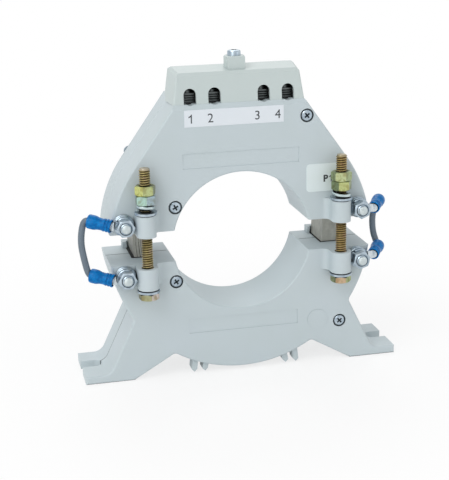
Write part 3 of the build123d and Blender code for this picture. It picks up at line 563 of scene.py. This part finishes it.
# Where the slit of each stud's spring washer stands, in degrees
stud_slits = {"upper_left": 128, "lower_left": 52, "upper_right": 130, "lower_right": 118}
forwards = Matrix.Rotation(math.radians(90), 4, "X")
flat_washers = bmesh.new()
split_washers = bmesh.new()
for corner, turn in stud_slits.items():
    low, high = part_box(f"{corner}_stud")
    x = (low.x + high.x) / 2
    z = (low.z + high.z) / 2
    for depth in washer_backs:
        part = bmesh.new()
        add_ring(part, washer_bore, washer_radius, washer_thickness)
        add_part(flat_washers, part, Matrix.Translation((x, depth, z)) @ forwards)
    part = bmesh.new()
    add_ring(part, washer_bore, spring_radius, spring_thickness, flattened_slit, 0.0, turn)
    add_part(split_washers, part, Matrix.Translation((x, spring_back, z)) @ forwards)
for bm, name in ((flat_washers, "stud_washers"), (split_washers, "stud_spring_washers")):
    piece = keep_mesh(bm, "rounded_" + name, bright_zinc)
    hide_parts(name)
    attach(piece, "root")

# Number tape and side label
# White vinyl film stuck to the face. The tape under the cable entries carries the terminal
# numbers and the small label the mark of the first primary side, both printed in dark ink.

# White vinyl film: slightly bluish, smooth, and a little greyer on the label
vinyl_film = clouded_material(
    "white_vinyl_film", {"Roughness": 0.38, "IOR": 1.52}, 14 * mm, ("#dbe2e9", "#dfe5ea")
)
dress(vinyl_film, "number_tape")
label_film = clouded_material(
    "grey_label_film", {"Roughness": 0.4, "IOR": 1.52}, 10 * mm, ("#dde8ea", "#d8e4e5")
)
dress(label_film, "side_label")

# Printing ink: flat dark grey, slightly mottled
ink = clouded_material("printing_ink", {"Roughness": 0.7}, 0.8 * mm, ("#2c3033", "#43484b"))
ink_thickness = 0.03 * mm
# Outline of a figure one with its flag, which the plain font lacks
figure_one = (
    (0.27, 0.0),
    (0.4, 0.0),
    (0.4, 1.0),
    (0.31, 1.0),
    (0.24, 0.86),
    (0.02, 0.74),
    (0.02, 0.61),
    (0.27, 0.72),
)


def print_mark(name, words, height, centre_x, centre_z, front_y, weight=0.0):
    """Raised ink in plain letters, facing forwards, centred at x, z on a film's surface."""
    bm = bmesh.new()
    if words == "1":
        bm.faces.new([bm.verts.new((x, y, 0.0)) for x, y in figure_one])
    else:
        curve = bpy.data.curves.new(name, "FONT")
        curve.body = words
        curve.offset = weight
        flat = bpy.data.objects.new(name + "_outline", curve)
        bpy.context.collection.objects.link(flat)
        bpy.context.view_layer.update()
        mesh = bpy.data.meshes.new_from_object(flat)
        bpy.data.objects.remove(flat)
        bm.from_mesh(mesh)
        bpy.data.meshes.remove(mesh)
        bmesh.ops.remove_doubles(bm, verts=bm.verts, dist=1e-5)
    xs = [vertex.co.x for vertex in bm.verts]
    ys = [vertex.co.y for vertex in bm.verts]
    size = Matrix.Scale(height / (max(ys) - min(ys)), 4)
    middle = Vector(((max(xs) + min(xs)) / 2, (max(ys) + min(ys)) / 2, 0.0))
    spot = Matrix.Translation((centre_x, front_y, centre_z))
    target = spot @ forwards @ size @ Matrix.Translation(-middle)
    bmesh.ops.transform(bm, matrix=target, verts=bm.verts)
    grown = bmesh.ops.extrude_face_region(bm, geom=bm.faces[:])
    raised = [item for item in grown["geom"] if isinstance(item, bmesh.types.BMVert)]
    bmesh.ops.translate(bm, vec=(0.0, -ink_thickness, 0.0), verts=raised)
    bmesh.ops.recalc_face_normals(bm, faces=bm.faces)
    piece = keep_mesh(bm, name, ink)
    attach(piece, "root")


number_height = 6.3 * mm
number_z = 91.0 * mm
number_x = {1: -36.4 * mm, 2: -21.9 * mm, 3: 11.9 * mm, 4: 26.8 * mm}
tape_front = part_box("number_tape")[0].y
for number, x in number_x.items():
    print_mark(f"terminal_number_{number}", str(number), number_height, x, number_z, tape_front)
mark_height = 5.2 * mm
mark_z = 41.7 * mm
letter_x = 62.6 * mm
letter_weight = 0.04
figure_x = 66.0 * mm
label_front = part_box("side_label")[0].y
print_mark("primary_side_letter", "P", mark_height, letter_x, mark_z, label_front, letter_weight)
print_mark("primary_side_number", "1", mark_height, figure_x, mark_z, label_front)

# Cross-recessed screws
# Pan-head screws that hold the front and rear shells together from both sides, sunk in round
# pockets, and the cover's longer screw on its boss. Each was driven home at its own angle.


def add_cross_screw(bm, head_radius, head_height, shank_radius, shank_length, turn):
    """Pan-head screw along Z, its head up from the origin with a tapering cross recess."""
    wing = 0.56 * head_radius
    slot = 0.15 * head_radius
    quarter = ((slot, wing), (slot, slot), (wing, slot))
    cross = []
    for step in range(4):
        spun = Matrix.Rotation(math.radians(-90 * step), 3, "Z")
        for x, y in quarter:
            cross.append(bm.verts.new(spun @ Vector((x, y, head_height))))
    cross_rim = [bm.edges.new((cross[i - 1], cross[i])) for i in range(len(cross))]
    rim = bmesh.ops.create_circle(
        bm,
        segments=48,
        radius=0.72 * head_radius,
        matrix=Matrix.Translation((0.0, 0.0, head_height)),
    )["verts"]
    head_rim = [edge for edge in bm.edges if edge.verts[0] in rim and edge.verts[1] in rim]
    bmesh.ops.triangle_fill(bm, edges=cross_rim + head_rim, use_beauty=True, normal=(0.0, 0.0, 1.0))
    # Radius and height of each ring down the outside, from the crown to the end of the shank
    for radius, level in (
        (0.88 * head_radius, 0.94 * head_height),
        (0.97 * head_radius, 0.8 * head_height),
        (head_radius, 0.58 * head_height),
        (head_radius, 0.0),
        (shank_radius, 0.0),
        (shank_radius, -shank_length),
    ):
        grown = bmesh.ops.extrude_edge_only(bm, edges=head_rim)["geom"]
        head_rim = [item for item in grown if isinstance(item, bmesh.types.BMEdge)]
        for vertex in grown:
            if isinstance(vertex, bmesh.types.BMVert):
                vertex.co.xy *= radius / vertex.co.xy.length
                vertex.co.z = level
    bmesh.ops.contextual_create(bm, geom=head_rim)
    outside = bm.faces[:]
    for narrower, level in ((0.85, 0.55), (0.4, 0.25)):
        grown = bmesh.ops.extrude_edge_only(bm, edges=cross_rim)["geom"]
        cross_rim = [item for item in grown if isinstance(item, bmesh.types.BMEdge)]
        for vertex in grown:
            if isinstance(vertex, bmesh.types.BMVert):
                vertex.co.xy *= narrower
                vertex.co.z = level * head_height
    bmesh.ops.contextual_create(bm, geom=cross_rim)
    # The recess's walls and floor take the second material, the painted shade
    for face in set(bm.faces) - set(outside):
        face.material_index = 1
    bmesh.ops.recalc_face_normals(bm, faces=bm.faces)
    bmesh.ops.rotate(bm, matrix=Matrix.Rotation(math.radians(turn), 3, "Z"), verts=bm.verts)


# Painted shade in the cross recesses: nearly black, slightly blue
recess_shade = clouded_material(
    "painted_recess_shade", {"Roughness": 0.55}, 0.7 * mm, ("#182328", "#3a4a50")
)
screw_head_radius = 4.0 * mm
screw_head_height = 2.6 * mm
screw_shank_radius = 2.0 * mm
screw_shank_length = 36.0 * mm
# Where each screw's head sits, in millimetres: x, depth and z, then the turn of its recess
shell_screws = {
    "front_shell_screws": (
        (-48.79, -23.6, 28.29, 27),
        (48.5, -23.6, 88.5, 38),
        (-49.61, -23.6, -26.83, 32),
        (73.8, -23.6, -68.7, 41),
    ),
    "rear_shell_screws": (
        (48.79, 23.6, 28.29, 12),
        (-72.22, 26.0, 60.17, 50),
        (49.61, 23.6, -26.83, 66),
        (-73.8, 23.6, -68.7, 24),
    ),
}
for name, spots in shell_screws.items():
    screws = bmesh.new()
    for x, depth, z, turn in spots:
        part = bmesh.new()
        add_cross_screw(
            part,
            screw_head_radius,
            screw_head_height,
            screw_shank_radius,
            screw_shank_length,
            turn,
        )
        outwards = Matrix.Rotation(math.radians(90 if depth < 0 else -90), 4, "X")
        add_part(screws, part, Matrix.Translation((x * mm, depth * mm, z * mm)) @ outwards)
    piece = keep_mesh(screws, name.replace("screws", "cross_screws"), bright_zinc)
    piece.data.materials.append(recess_shade)
    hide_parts(name)
    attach(piece, "root")

low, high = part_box("cover_screw")
cover_head_radius = 4.85 * mm
cover_head_height = 3.7 * mm
cover_shank_radius = 2.5 * mm
cover_shank_length = high.z - low.z - cover_head_height
bm = bmesh.new()
add_cross_screw(
    bm, cover_head_radius, cover_head_height, cover_shank_radius, cover_shank_length, 20
)
spot = ((low.x + high.x) / 2, (low.y + high.y) / 2, high.z - cover_head_height)
bmesh.ops.translate(bm, vec=spot, verts=bm.verts)
piece = keep_mesh(bm, "cover_cross_screw", bright_zinc)
piece.data.materials.append(recess_shade)
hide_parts("cover_screw")
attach(piece, "root")

# Clamp bolts
# Two M8 hexagon bolts with a thread rolled over their whole length. Their yellow passivated zinc
# has gone brown and oily on the thread and shines in another tint on each face of the head.
bolt_diameter = 8.0 * mm
bolt_end_bevel = 0.9 * mm
# The standard pitch is 1.25 mm; the thread is cut at 1.7 mm so that its turns show
thread_pitch = 1.7 * mm
thread_depth = 0.65 * mm
# Sections in each turn of the thread
thread_steps = 28


def add_thread(bm, diameter, length, end_bevel, dome=0.0):
    """Threaded rod up from the origin along Z: a helix of the thread's profile, cut to length."""
    crest = diameter / 2
    root = crest - thread_depth
    # Radius of each corner of the thread and its share of the pitch
    profile = (
        (root, 0.04),
        (crest, 0.45),
        (crest, 0.58),
        (root, 0.96),
        (root, 1.04),
    )
    corners = [
        bm.verts.new((radius, 0.0, (share - 2.0) * thread_pitch)) for radius, share in profile
    ]
    edges = [bm.edges.new(pair) for pair in zip(corners, corners[1:])]
    turns = math.ceil(length / thread_pitch) + 3
    bmesh.ops.spin(
        bm,
        geom=corners + edges,
        cent=(0.0, 0.0, 0.0),
        axis=(0.0, 0.0, 1.0),
        dvec=(0.0, 0.0, thread_pitch / thread_steps),
        angle=math.tau * turns,
        steps=thread_steps * turns,
        use_merge=False,
    )
    bmesh.ops.remove_doubles(bm, verts=bm.verts, dist=thread_pitch * 0.01)
    for height, normal in ((0.0, -1.0), (length, 1.0)):
        bmesh.ops.bisect_plane(
            bm,
            geom=bm.verts[:] + bm.edges[:] + bm.faces[:],
            plane_co=(0.0, 0.0, height),
            plane_no=(0.0, 0.0, normal),
            dist=thread_pitch * 0.001,
            clear_outer=True,
        )
    for vertex in bm.verts:
        limit = crest - max(0.0, vertex.co.z - (length - end_bevel))
        radius = vertex.co.xy.length
        if radius > limit:
            vertex.co.xy *= limit / radius
    rims = [edge for edge in bm.edges if edge.is_boundary]
    top_rim = [edge for edge in rims if edge.verts[0].co.z > length / 2]
    bottom_rim = [edge for edge in rims if edge.verts[0].co.z < length / 2]
    bmesh.ops.contextual_create(bm, geom=bottom_rim)
    dome_rings = 5 if dome else 0
    for ring in range(dome_rings):
        grown = bmesh.ops.extrude_edge_only(bm, edges=top_rim)["geom"]
        top_rim = [item for item in grown if isinstance(item, bmesh.types.BMEdge)]
        angle = math.radians(90) * (ring + 1) / (dome_rings + 1)
        last = math.radians(90) * ring / (dome_rings + 1)
        for vertex in grown:
            if isinstance(vertex, bmesh.types.BMVert):
                vertex.co.xy *= math.cos(angle) / math.cos(last)
                vertex.co.z += dome * (math.sin(angle) - math.sin(last))
    bmesh.ops.contextual_create(bm, geom=top_rim)
    bmesh.ops.recalc_face_normals(bm, faces=bm.faces)


def add_hexagon(bm, across_flats, height, turn, bore=0.0):
    """Bevelled hexagon of a head or nut, up from the origin; a bore gets a countersink."""
    inner = across_flats / 2
    flat = 0.95 * inner
    slope = math.tan(math.radians(30))
    sink = 0.6 * mm
    corner = inner / math.cos(math.radians(30))
    # Radius and height of each corner of the half section, which is spun and then made six-sided
    outline = [(flat, 0.0), (corner, 0.0), (corner, height), (flat, height)]
    if bore:
        outline += [
            (bore + sink, height),
            (bore, height - sink),
            (bore, sink),
            (bore + sink, 0.0),
            (flat, 0.0),
        ]
    else:
        outline = [(0.0, 0.0)] + outline + [(0.0, height)]
    points = [bm.verts.new((radius, 0.0, z)) for radius, z in outline]
    edges = [bm.edges.new(pair) for pair in zip(points, points[1:])]
    bmesh.ops.spin(
        bm,
        geom=points + edges,
        cent=(0.0, 0.0, 0.0),
        axis=(0.0, 0.0, 1.0),
        angle=math.tau,
        steps=96,
        use_merge=True,
    )
    bmesh.ops.remove_doubles(bm, verts=bm.verts, dist=0.01 * mm)
    for vertex in bm.verts:
        radius = vertex.co.xy.length
        if radius > 1.01 * flat:
            angle = math.degrees(math.atan2(vertex.co.y, vertex.co.x)) % 60 - 30
            reach = inner / math.cos(math.radians(angle))
            vertex.co.xy *= reach / radius
            drop = (reach - flat) * slope
            vertex.co.z += drop if vertex.co.z < height / 2 else -drop
    bmesh.ops.rotate(bm, matrix=Matrix.Rotation(math.radians(turn), 3, "Z"), verts=bm.verts)
    bmesh.ops.recalc_face_normals(bm, faces=bm.faces)


def centred_on(tree, axis_x, axis_y, turn=0.0):
    """Object coordinates moved, and turned if asked, onto an upright axis."""
    place = add_node(tree, "ShaderNodeTexCoord").outputs["Object"]
    moved = add_node(
        tree,
        "ShaderNodeMapping",
        {
            "Vector": place,
            "Location": (axis_x, axis_y, 0.0),
            "Rotation": (0.0, 0.0, math.radians(turn)),
        },
        vector_type="TEXTURE",
    )
    return moved.outputs["Vector"]


def film_tone(tree, place, patch, tones):
    """Colour of a film that wanders through a ramp's tones in patches of about the given size."""
    cloud = add_node(
        tree, "ShaderNodeTexNoise", {"Vector": place, "Scale": 1.0 / patch, "Detail": 2.0}
    )
    return add_node(tree, "ShaderNodeValToRGB", {"Fac": cloud.outputs["Fac"]}, tones).outputs[0]


def thread_zinc(name, axis_x, axis_y, tip_z, tones, tip_tone):
    """Browned zinc on a thread: bright crests, painted shade in the grooves and round the washers,
    and a cleaner bevelled end.
    """
    material, tree, shader = new_material(name, {"Roughness": 0.36, "Metallic": 0.8})
    place = centred_on(tree, axis_x, axis_y)
    crest_tone = film_tone(tree, place, 5 * mm, list(zip((0.36, 0.5, 0.62), tones)))
    parts = add_node(tree, "ShaderNodeSeparateXYZ", {"Vector": place})
    flat = add_node(
        tree, "ShaderNodeCombineXYZ", {"X": parts.outputs["X"], "Y": parts.outputs["Y"]}
    )
    radius = add_node(tree, "ShaderNodeVectorMath", {0: flat.outputs["Vector"]}, operation="LENGTH")
    crest = add_node(
        tree,
        "ShaderNodeMapRange",
        {
            "Value": radius.outputs["Value"],
            "From Min": bolt_diameter / 2 - thread_depth,
            "From Max": bolt_diameter / 2 - 0.1 * thread_depth,
        },
    )
    # The grooves take a dark painted shade, the crests the film's tone
    thread = add_node(
        tree,
        "ShaderNodeMix",
        {0: crest.outputs["Result"], 6: "#40361f", 7: crest_tone},
        data_type="RGBA",
    )
    bevel_z = tip_z - bolt_end_bevel
    tip = add_node(
        tree,
        "ShaderNodeMapRange",
        {"Value": parts.outputs["Z"], "From Min": bevel_z - 0.4 * mm, "From Max": bevel_z},
    )
    whole = add_node(
        tree,
        "ShaderNodeMix",
        {0: tip.outputs["Result"], 6: thread.outputs[2], 7: tip_tone},
        data_type="RGBA",
    )
    # Painted shade where the nut and washers close round the thread
    bolt_tone = with_grime(tree, whole.outputs[2], "#060606", 4 * mm, 0.4, 0.7)
    tree.links.new(bolt_tone, shader.inputs["Base Color"])
    return material


def facet_zinc(name, axis_x, axis_y, turn, tones):
    """Yellow passivated zinc on a hexagon: the clear film's tint changes from facet to facet, and
    each facet's tone also holds painted light and shade.
    """
    material, tree, shader = new_material(name, {"Roughness": 0.28, "Metallic": 0.85})
    place = centred_on(tree, axis_x, axis_y, turn)
    around = add_node(tree, "ShaderNodeTexGradient", {"Vector": place}, gradient_type="RADIAL")
    facets = add_node(
        tree,
        "ShaderNodeValToRGB",
        {"Fac": around.outputs["Fac"]},
        [(number / 6, tone) for number, tone in enumerate(tones)],
    )
    facets.color_ramp.interpolation = "CONSTANT"
    sheen_tones = ((0.35, "#c9c4a8"), (0.5, "#ffffff"), (0.65, "#dcd2c4"))
    film = add_node(
        tree,
        "ShaderNodeMix",
        {0: 1.0, 6: facets.outputs[0], 7: film_tone(tree, place, 5 * mm, sheen_tones)},
        data_type="RGBA",
        blend_type="MULTIPLY",
    )
    # Painted shade where the hexagon meets washers and the bolt
    zinc_tone = with_grime(tree, film.outputs[2], "#14130a", 2.5 * mm, 0.2, 0.6)
    tree.links.new(zinc_tone, shader.inputs["Base Color"])
    return material


# Crest tones of each thread, dark to light, and the tone of its bevelled end
thread_tones = {
    "left": (("#9b8c5c", "#b0a270", "#b4a07e"), "#a89e8a"),
    "right": (("#a08a58", "#b09a66", "#ad906a"), "#978c70"),
}
# The turn of each head, in degrees, and the tint of its six facets, round from the front left one;
# the tints are partly the film's own and partly painted light and shade
head_facets = {
    "left": (36, ("#a6a682", "#c9bfba", "#a8a27c", "#a9a46a", "#b8ae80", "#a09a70")),
    "right": (43, ("#c6ad8f", "#9fac7a", "#97a070", "#b0a474", "#bca384", "#98a078")),
}
hexagon_width = 13.0 * mm
# The bevels slope at 30 degrees, so the edges of heads and nuts are kept sharp from 25 degrees
facet_angle = 25.0
washer_face = 0.4 * mm
washer_face_radius = 5.8 * mm

# Spring zinc with painted shade: the springs' inner sides are painted nearly black between nut and
# washer
shaded_spring_zinc = clouded_material(
    "spring_zinc_painted_shade",
    {"Roughness": 0.3, "Metallic": 0.85},
    3 * mm,
    ("#a9bcc2", "#d8e4e2"),
    ("#07090a", 4 * mm, 0.45, 0.62),
)
# The springs stand open: width of the slit and where it is on each side, in degrees
open_slit = 7.0
spring_turn = {"left": 176, "right": 22}
for side, turn in spring_turn.items():
    bolt_low, bolt_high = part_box(f"{side}_clamp_bolt")
    washer_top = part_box(f"{side}_top_washer")[1].z
    nut_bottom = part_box(f"{side}_clamp_nut")[0].z
    rise = nut_bottom - washer_top - spring_thickness
    bm = bmesh.new()
    add_ring(bm, washer_bore, spring_radius, spring_thickness, open_slit, rise, turn)
    centre = ((bolt_low.x + bolt_high.x) / 2, (bolt_low.y + bolt_high.y) / 2, washer_top)
    bmesh.ops.translate(bm, vec=centre, verts=bm.verts)
    piece = keep_mesh(bm, f"{side}_open_spring_washer", shaded_spring_zinc)
    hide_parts(f"{side}_bolt_spring_washer")
    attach(piece, "root")

for side in ("left", "right"):
    low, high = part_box(f"{side}_clamp_bolt")
    head_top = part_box(f"{side}_head_washer")[0].z
    axis_x = (low.x + high.x) / 2
    axis_y = (low.y + high.y) / 2
    bm = bmesh.new()
    add_thread(bm, bolt_diameter, high.z - head_top, bolt_end_bevel)
    bmesh.ops.translate(bm, vec=(axis_x, axis_y, head_top), verts=bm.verts)
    tones, tip_tone = thread_tones[side]
    finish = thread_zinc(f"{side}_thread_zinc", axis_x, axis_y, high.z, tones, tip_tone)
    thread = keep_mesh(bm, f"{side}_clamp_bolt_thread", finish)
    turn, tones = head_facets[side]
    bm = bmesh.new()
    add_hexagon(bm, hexagon_width, head_top - washer_face - low.z, turn)
    bmesh.ops.create_cone(
        bm,
        cap_ends=True,
        segments=64,
        radius1=washer_face_radius,
        radius2=washer_face_radius,
        depth=washer_face,
        matrix=Matrix.Translation((0.0, 0.0, head_top - low.z - washer_face / 2)),
    )
    bmesh.ops.translate(bm, vec=(axis_x, axis_y, low.z), verts=bm.verts)
    finish = facet_zinc(f"{side}_head_zinc", axis_x, axis_y, turn, tones)
    head = keep_mesh(bm, f"{side}_clamp_bolt_head", finish, facet_angle)
    for piece, slot_name in ((thread, "yellow_zinc_bolt"), (head, "yellow_zinc_nut")):
        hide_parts(f"{side}_clamp_bolt")
        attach(piece, "root")

# Nuts of the clamp bolts
# Two M8 nuts on each bolt, the upper one locking the lower. Their yellow zinc is greener than the
# bolts' and almost colourless on the lower left one.
# The turn of each nut, in degrees, and the tint of its six facets, partly painted light and shade
nut_facets = {
    "left_lock_nut": (8, ("#cdd388", "#bac48e", "#a2a67a", "#a8a86e", "#babc7c", "#a0a268")),
    "left_clamp_nut": (28, ("#accdc2", "#a3b7c0", "#a2b2b8", "#aabcb2", "#b4c3bc", "#96b0a8")),
    "right_lock_nut": (38, ("#b8c294", "#a0af86", "#94a274", "#a8b07c", "#b0b686", "#9caa82")),
    "right_clamp_nut": (-2, ("#a1b288", "#bfc88a", "#96a474", "#a9b078", "#b0b882", "#9fa878")),
}
for name, (turn, tones) in nut_facets.items():
    low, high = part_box(name)
    axis_x = (low.x + high.x) / 2
    axis_y = (low.y + high.y) / 2
    bm = bmesh.new()
    add_hexagon(bm, hexagon_width, high.z - low.z, turn, bolt_diameter / 2)
    bmesh.ops.translate(bm, vec=(axis_x, axis_y, low.z), verts=bm.verts)
    finish = facet_zinc(name.replace("nut", "zinc"), axis_x, axis_y, turn, tones)
    piece = keep_mesh(bm, name + "_hexagon", finish, facet_angle)
    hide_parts(name)
    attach(piece, "root")

# Jumper studs and their nuts
# Short M8 studs cast into the shells, with a domed bright end, and a plain nut on each that
# presses the lug and its washers together.

# Pale zinc: the studs' worn ends are whiter and duller than the plating round them, and take a
# little painted shade in their hollows
stud_end = clouded_material(
    "pale_zinc_stud",
    {"Roughness": 0.4, "Metallic": 0.6},
    2.5 * mm,
    ("#a7b5ba", "#dfe6e5"),
    ("#1a2126", 1.2 * mm, 0.3, 0.7),
)
stud_dome = 1.3 * mm
stud_end_bevel = 0.75 * mm
pale_end_radius = 3.3 * mm
stud_nut_width = 11.6 * mm
stud_nut_turn = {"upper_left": 3, "lower_left": -2, "upper_right": 24, "lower_right": 16}
for corner, turn in stud_nut_turn.items():
    low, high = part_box(f"{corner}_stud")
    middle = ((low.x + high.x) / 2, high.y, (low.z + high.z) / 2)
    thread_length = high.y - low.y - stud_dome
    bm = bmesh.new()
    add_thread(bm, bolt_diameter, thread_length, stud_end_bevel, stud_dome)
    for face in bm.faces:
        centre = face.calc_center_median()
        if centre.z > thread_length and centre.xy.length < pale_end_radius:
            face.material_index = 1
    bmesh.ops.transform(bm, matrix=Matrix.Translation(middle) @ forwards, verts=bm.verts)
    stud = keep_mesh(bm, f"{corner}_stud_thread", bright_zinc)
    stud.data.materials.append(stud_end)
    low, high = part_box(f"{corner}_stud_nut")
    bm = bmesh.new()
    add_hexagon(bm, stud_nut_width, high.y - low.y, turn, bolt_diameter / 2)
    seat = (middle[0], high.y, middle[2])
    bmesh.ops.transform(bm, matrix=Matrix.Translation(seat) @ forwards, verts=bm.verts)
    nut = keep_mesh(bm, f"{corner}_stud_nut_hexagon", bright_zinc, facet_angle)
    for piece, name in ((stud, f"{corner}_stud"), (nut, f"{corner}_stud_nut")):
        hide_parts(name)
        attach(piece, "root")

# Ring lugs and their blue sleeves
# Tinned copper ring lugs under the stud nuts. The vinyl sleeve on each barrel has three ribs at
# the ring's end, a crimped waist and a fuller mouth where the wire goes in.

# Tinned copper: whitish metal, slightly streaky
tinned_copper = clouded_material(
    "tinned_copper", {"Roughness": 0.33, "Metallic": 0.85}, 2 * mm, ("#b3bfc6", "#e6ecef")
)
# Blue vinyl: saturated and smooth, with painted shade in the moulding's hollows
blue_vinyl, tree, shader = new_material(
    "blue_vinyl_sleeve", {"Roughness": 0.3, "IOR": 1.5, "Specular IOR Level": 0.14}
)
place = add_node(tree, "ShaderNodeTexCoord").outputs["Object"]
vinyl_tones = ((0.36, "#0060a4"), (0.5, "#036cb0"), (0.66, "#0c7ac2"))
vinyl_tone = film_tone(tree, place, 2.5 * mm, vinyl_tones)
vinyl_tone = with_grime(tree, vinyl_tone, "#042c58", 1.6 * mm, 0.35, 0.85)
tree.links.new(vinyl_tone, shader.inputs["Base Color"])

# Places of the studs and of the lugs' plates, in millimetres
stud_x = 86.5
stud_z = 19.0
lug_middle_y = -28.5
# Barrel start beyond each stud: outwards, in front of the lug's plate, upwards
lug_reach = {
    ("upper", "left"): (8.6, 3.7, 0.7),
    ("lower", "left"): (8.8, 3.7, -1.1),
    ("upper", "right"): (10.9, 3.4, -0.8),
    ("lower", "right"): (11.0, 3.4, 1.8),
}
lug_heading = {"left": (-0.885, 0.424, 0.193), "right": (0.54, 0.834, 0.12)}
barrel_length = 9.5
half_sign = {"upper": 1, "lower": -1}
side_sign = {"left": -1, "right": 1}
sleeve_scale = {"left": 1.0, "right": 0.94}
# Distance along the barrel and radius, in millimetres, from the ring's end to the wire's
sleeve_profile = (
    (2.2, 3.5),
    (0.5, 3.9),
    (0.5, 4.5),
    (0.8, 4.75),
    (1.8, 4.75),
    (2.2, 4.3),
    (2.6, 4.3),
    (3.0, 4.65),
    (4.0, 4.65),
    (4.4, 4.25),
    (4.8, 4.25),
    (5.2, 4.6),
    (6.2, 4.6),
    (6.8, 4.3),
    (8.5, 4.25),
    (10.2, 4.4),
    (12.0, 4.95),
    (13.2, 5.15),
    (16.6, 5.15),
    (17.6, 4.9),
    (18.1, 4.3),
    (18.1, 3.9),
    (17.4, 3.6),
    (14.4, 2.45),
)


def lug_place(height, side):
    """Start of a lug's barrel, in millimetres, and the unit vector along it."""
    out, front, upward = lug_reach[height, side]
    start = Vector(
        (
            side_sign[side] * (stud_x + out),
            lug_middle_y - front,
            half_sign[height] * stud_z + upward,
        )
    )
    return start, Vector(lug_heading[side]).normalized()


for height in ("upper", "lower"):
    for side in ("left", "right"):
        dress(tinned_copper, f"{height}_{side}_lug")
        start, heading = lug_place(height, side)
        bm = bmesh.new()
        width = sleeve_scale[side] * mm
        corners = [
            bm.verts.new((radius * width, 0.0, along * mm)) for along, radius in sleeve_profile
        ]
        edges = [bm.edges.new(pair) for pair in zip(corners, corners[1:])]
        bmesh.ops.spin(
            bm,
            geom=corners + edges,
            cent=(0.0, 0.0, 0.0),
            axis=(0.0, 0.0, 1.0),
            angle=math.tau,
            steps=64,
            use_merge=True,
        )
        bmesh.ops.recalc_face_normals(bm, faces=bm.faces)
        turn = heading.to_track_quat("Z", "Y").to_matrix().to_4x4()
        bmesh.ops.transform(bm, matrix=Matrix.Translation(start * mm) @ turn, verts=bm.verts)
        sleeve = keep_mesh(bm, f"{height}_{side}_ribbed_sleeve", blue_vinyl)
        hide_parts(f"{height}_{side}_sleeve")
        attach(sleeve, "root")

# Jumper wires
# One length of 4.7 mm stranded copper wire in grey PVC on each side, crimped into both lugs and
# just stiff enough to stand off the housing in one shallow bow.

# Grey PVC insulation: smooth, with a faint sheen and a slight drift in tone
grey_pvc = clouded_material(
    "grey_pvc_insulation", {"Roughness": 0.36, "IOR": 1.53}, 6 * mm, ("#5b6975", "#6a7783")
)
wire_diameter = 4.7 * mm
# Play of the wire in the barrel, and where it leaves the sleeve's mouth, in millimetres
wire_fit = 0.15
bell_start = 15.0
# Corners of each route from the upper sleeve down, in millimetres: outwards from the stud's axis,
# then Y and Z
wire_points = {
    "left": ((27.6, -23.0, 23.9), (30.4, -23.8, 8.5), (28.4, -24.1, -5.0), (25.9, -24.2, -16.5)),
    "right": ((22.0, -13.0, 20.6), (17.9, -10.0, 8.5), (18.4, -10.0, -5.5), (20.6, -12.6, -13.8)),
}
for side, corners in wire_points.items():
    ends = []
    bells = []
    for height in ("upper", "lower"):
        start, heading = lug_place(height, side)
        ends.append(start + heading * (barrel_length + wire_fit / 2))
        bells.append(start + heading * bell_start)
    middle = [Vector((side_sign[side] * (stud_x + out), y, z)) for out, y, z in corners]
    route = [ends[0], bells[0]] + middle + [bells[1], ends[1]]
    curve = bpy.data.curves.new(f"{side}_wire", "CURVE")
    curve.dimensions = "3D"
    curve.bevel_depth = wire_diameter / 2
    curve.bevel_resolution = 8
    curve.use_fill_caps = True
    curve.resolution_u = 24
    spline = curve.splines.new("NURBS")
    spline.points.add(len(route) - 1)
    for point, spot in zip(spline.points, route):
        point.co = (*(spot * mm), 1.0)
    spline.order_u = 3
    spline.use_endpoint_u = True
    curve.materials.append(grey_pvc)
    wire = bpy.data.objects.new(f"{side}_wire", curve)
    bpy.context.collection.objects.link(wire)
    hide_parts(f"{side}_jumper_wire")
    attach(wire, "root")
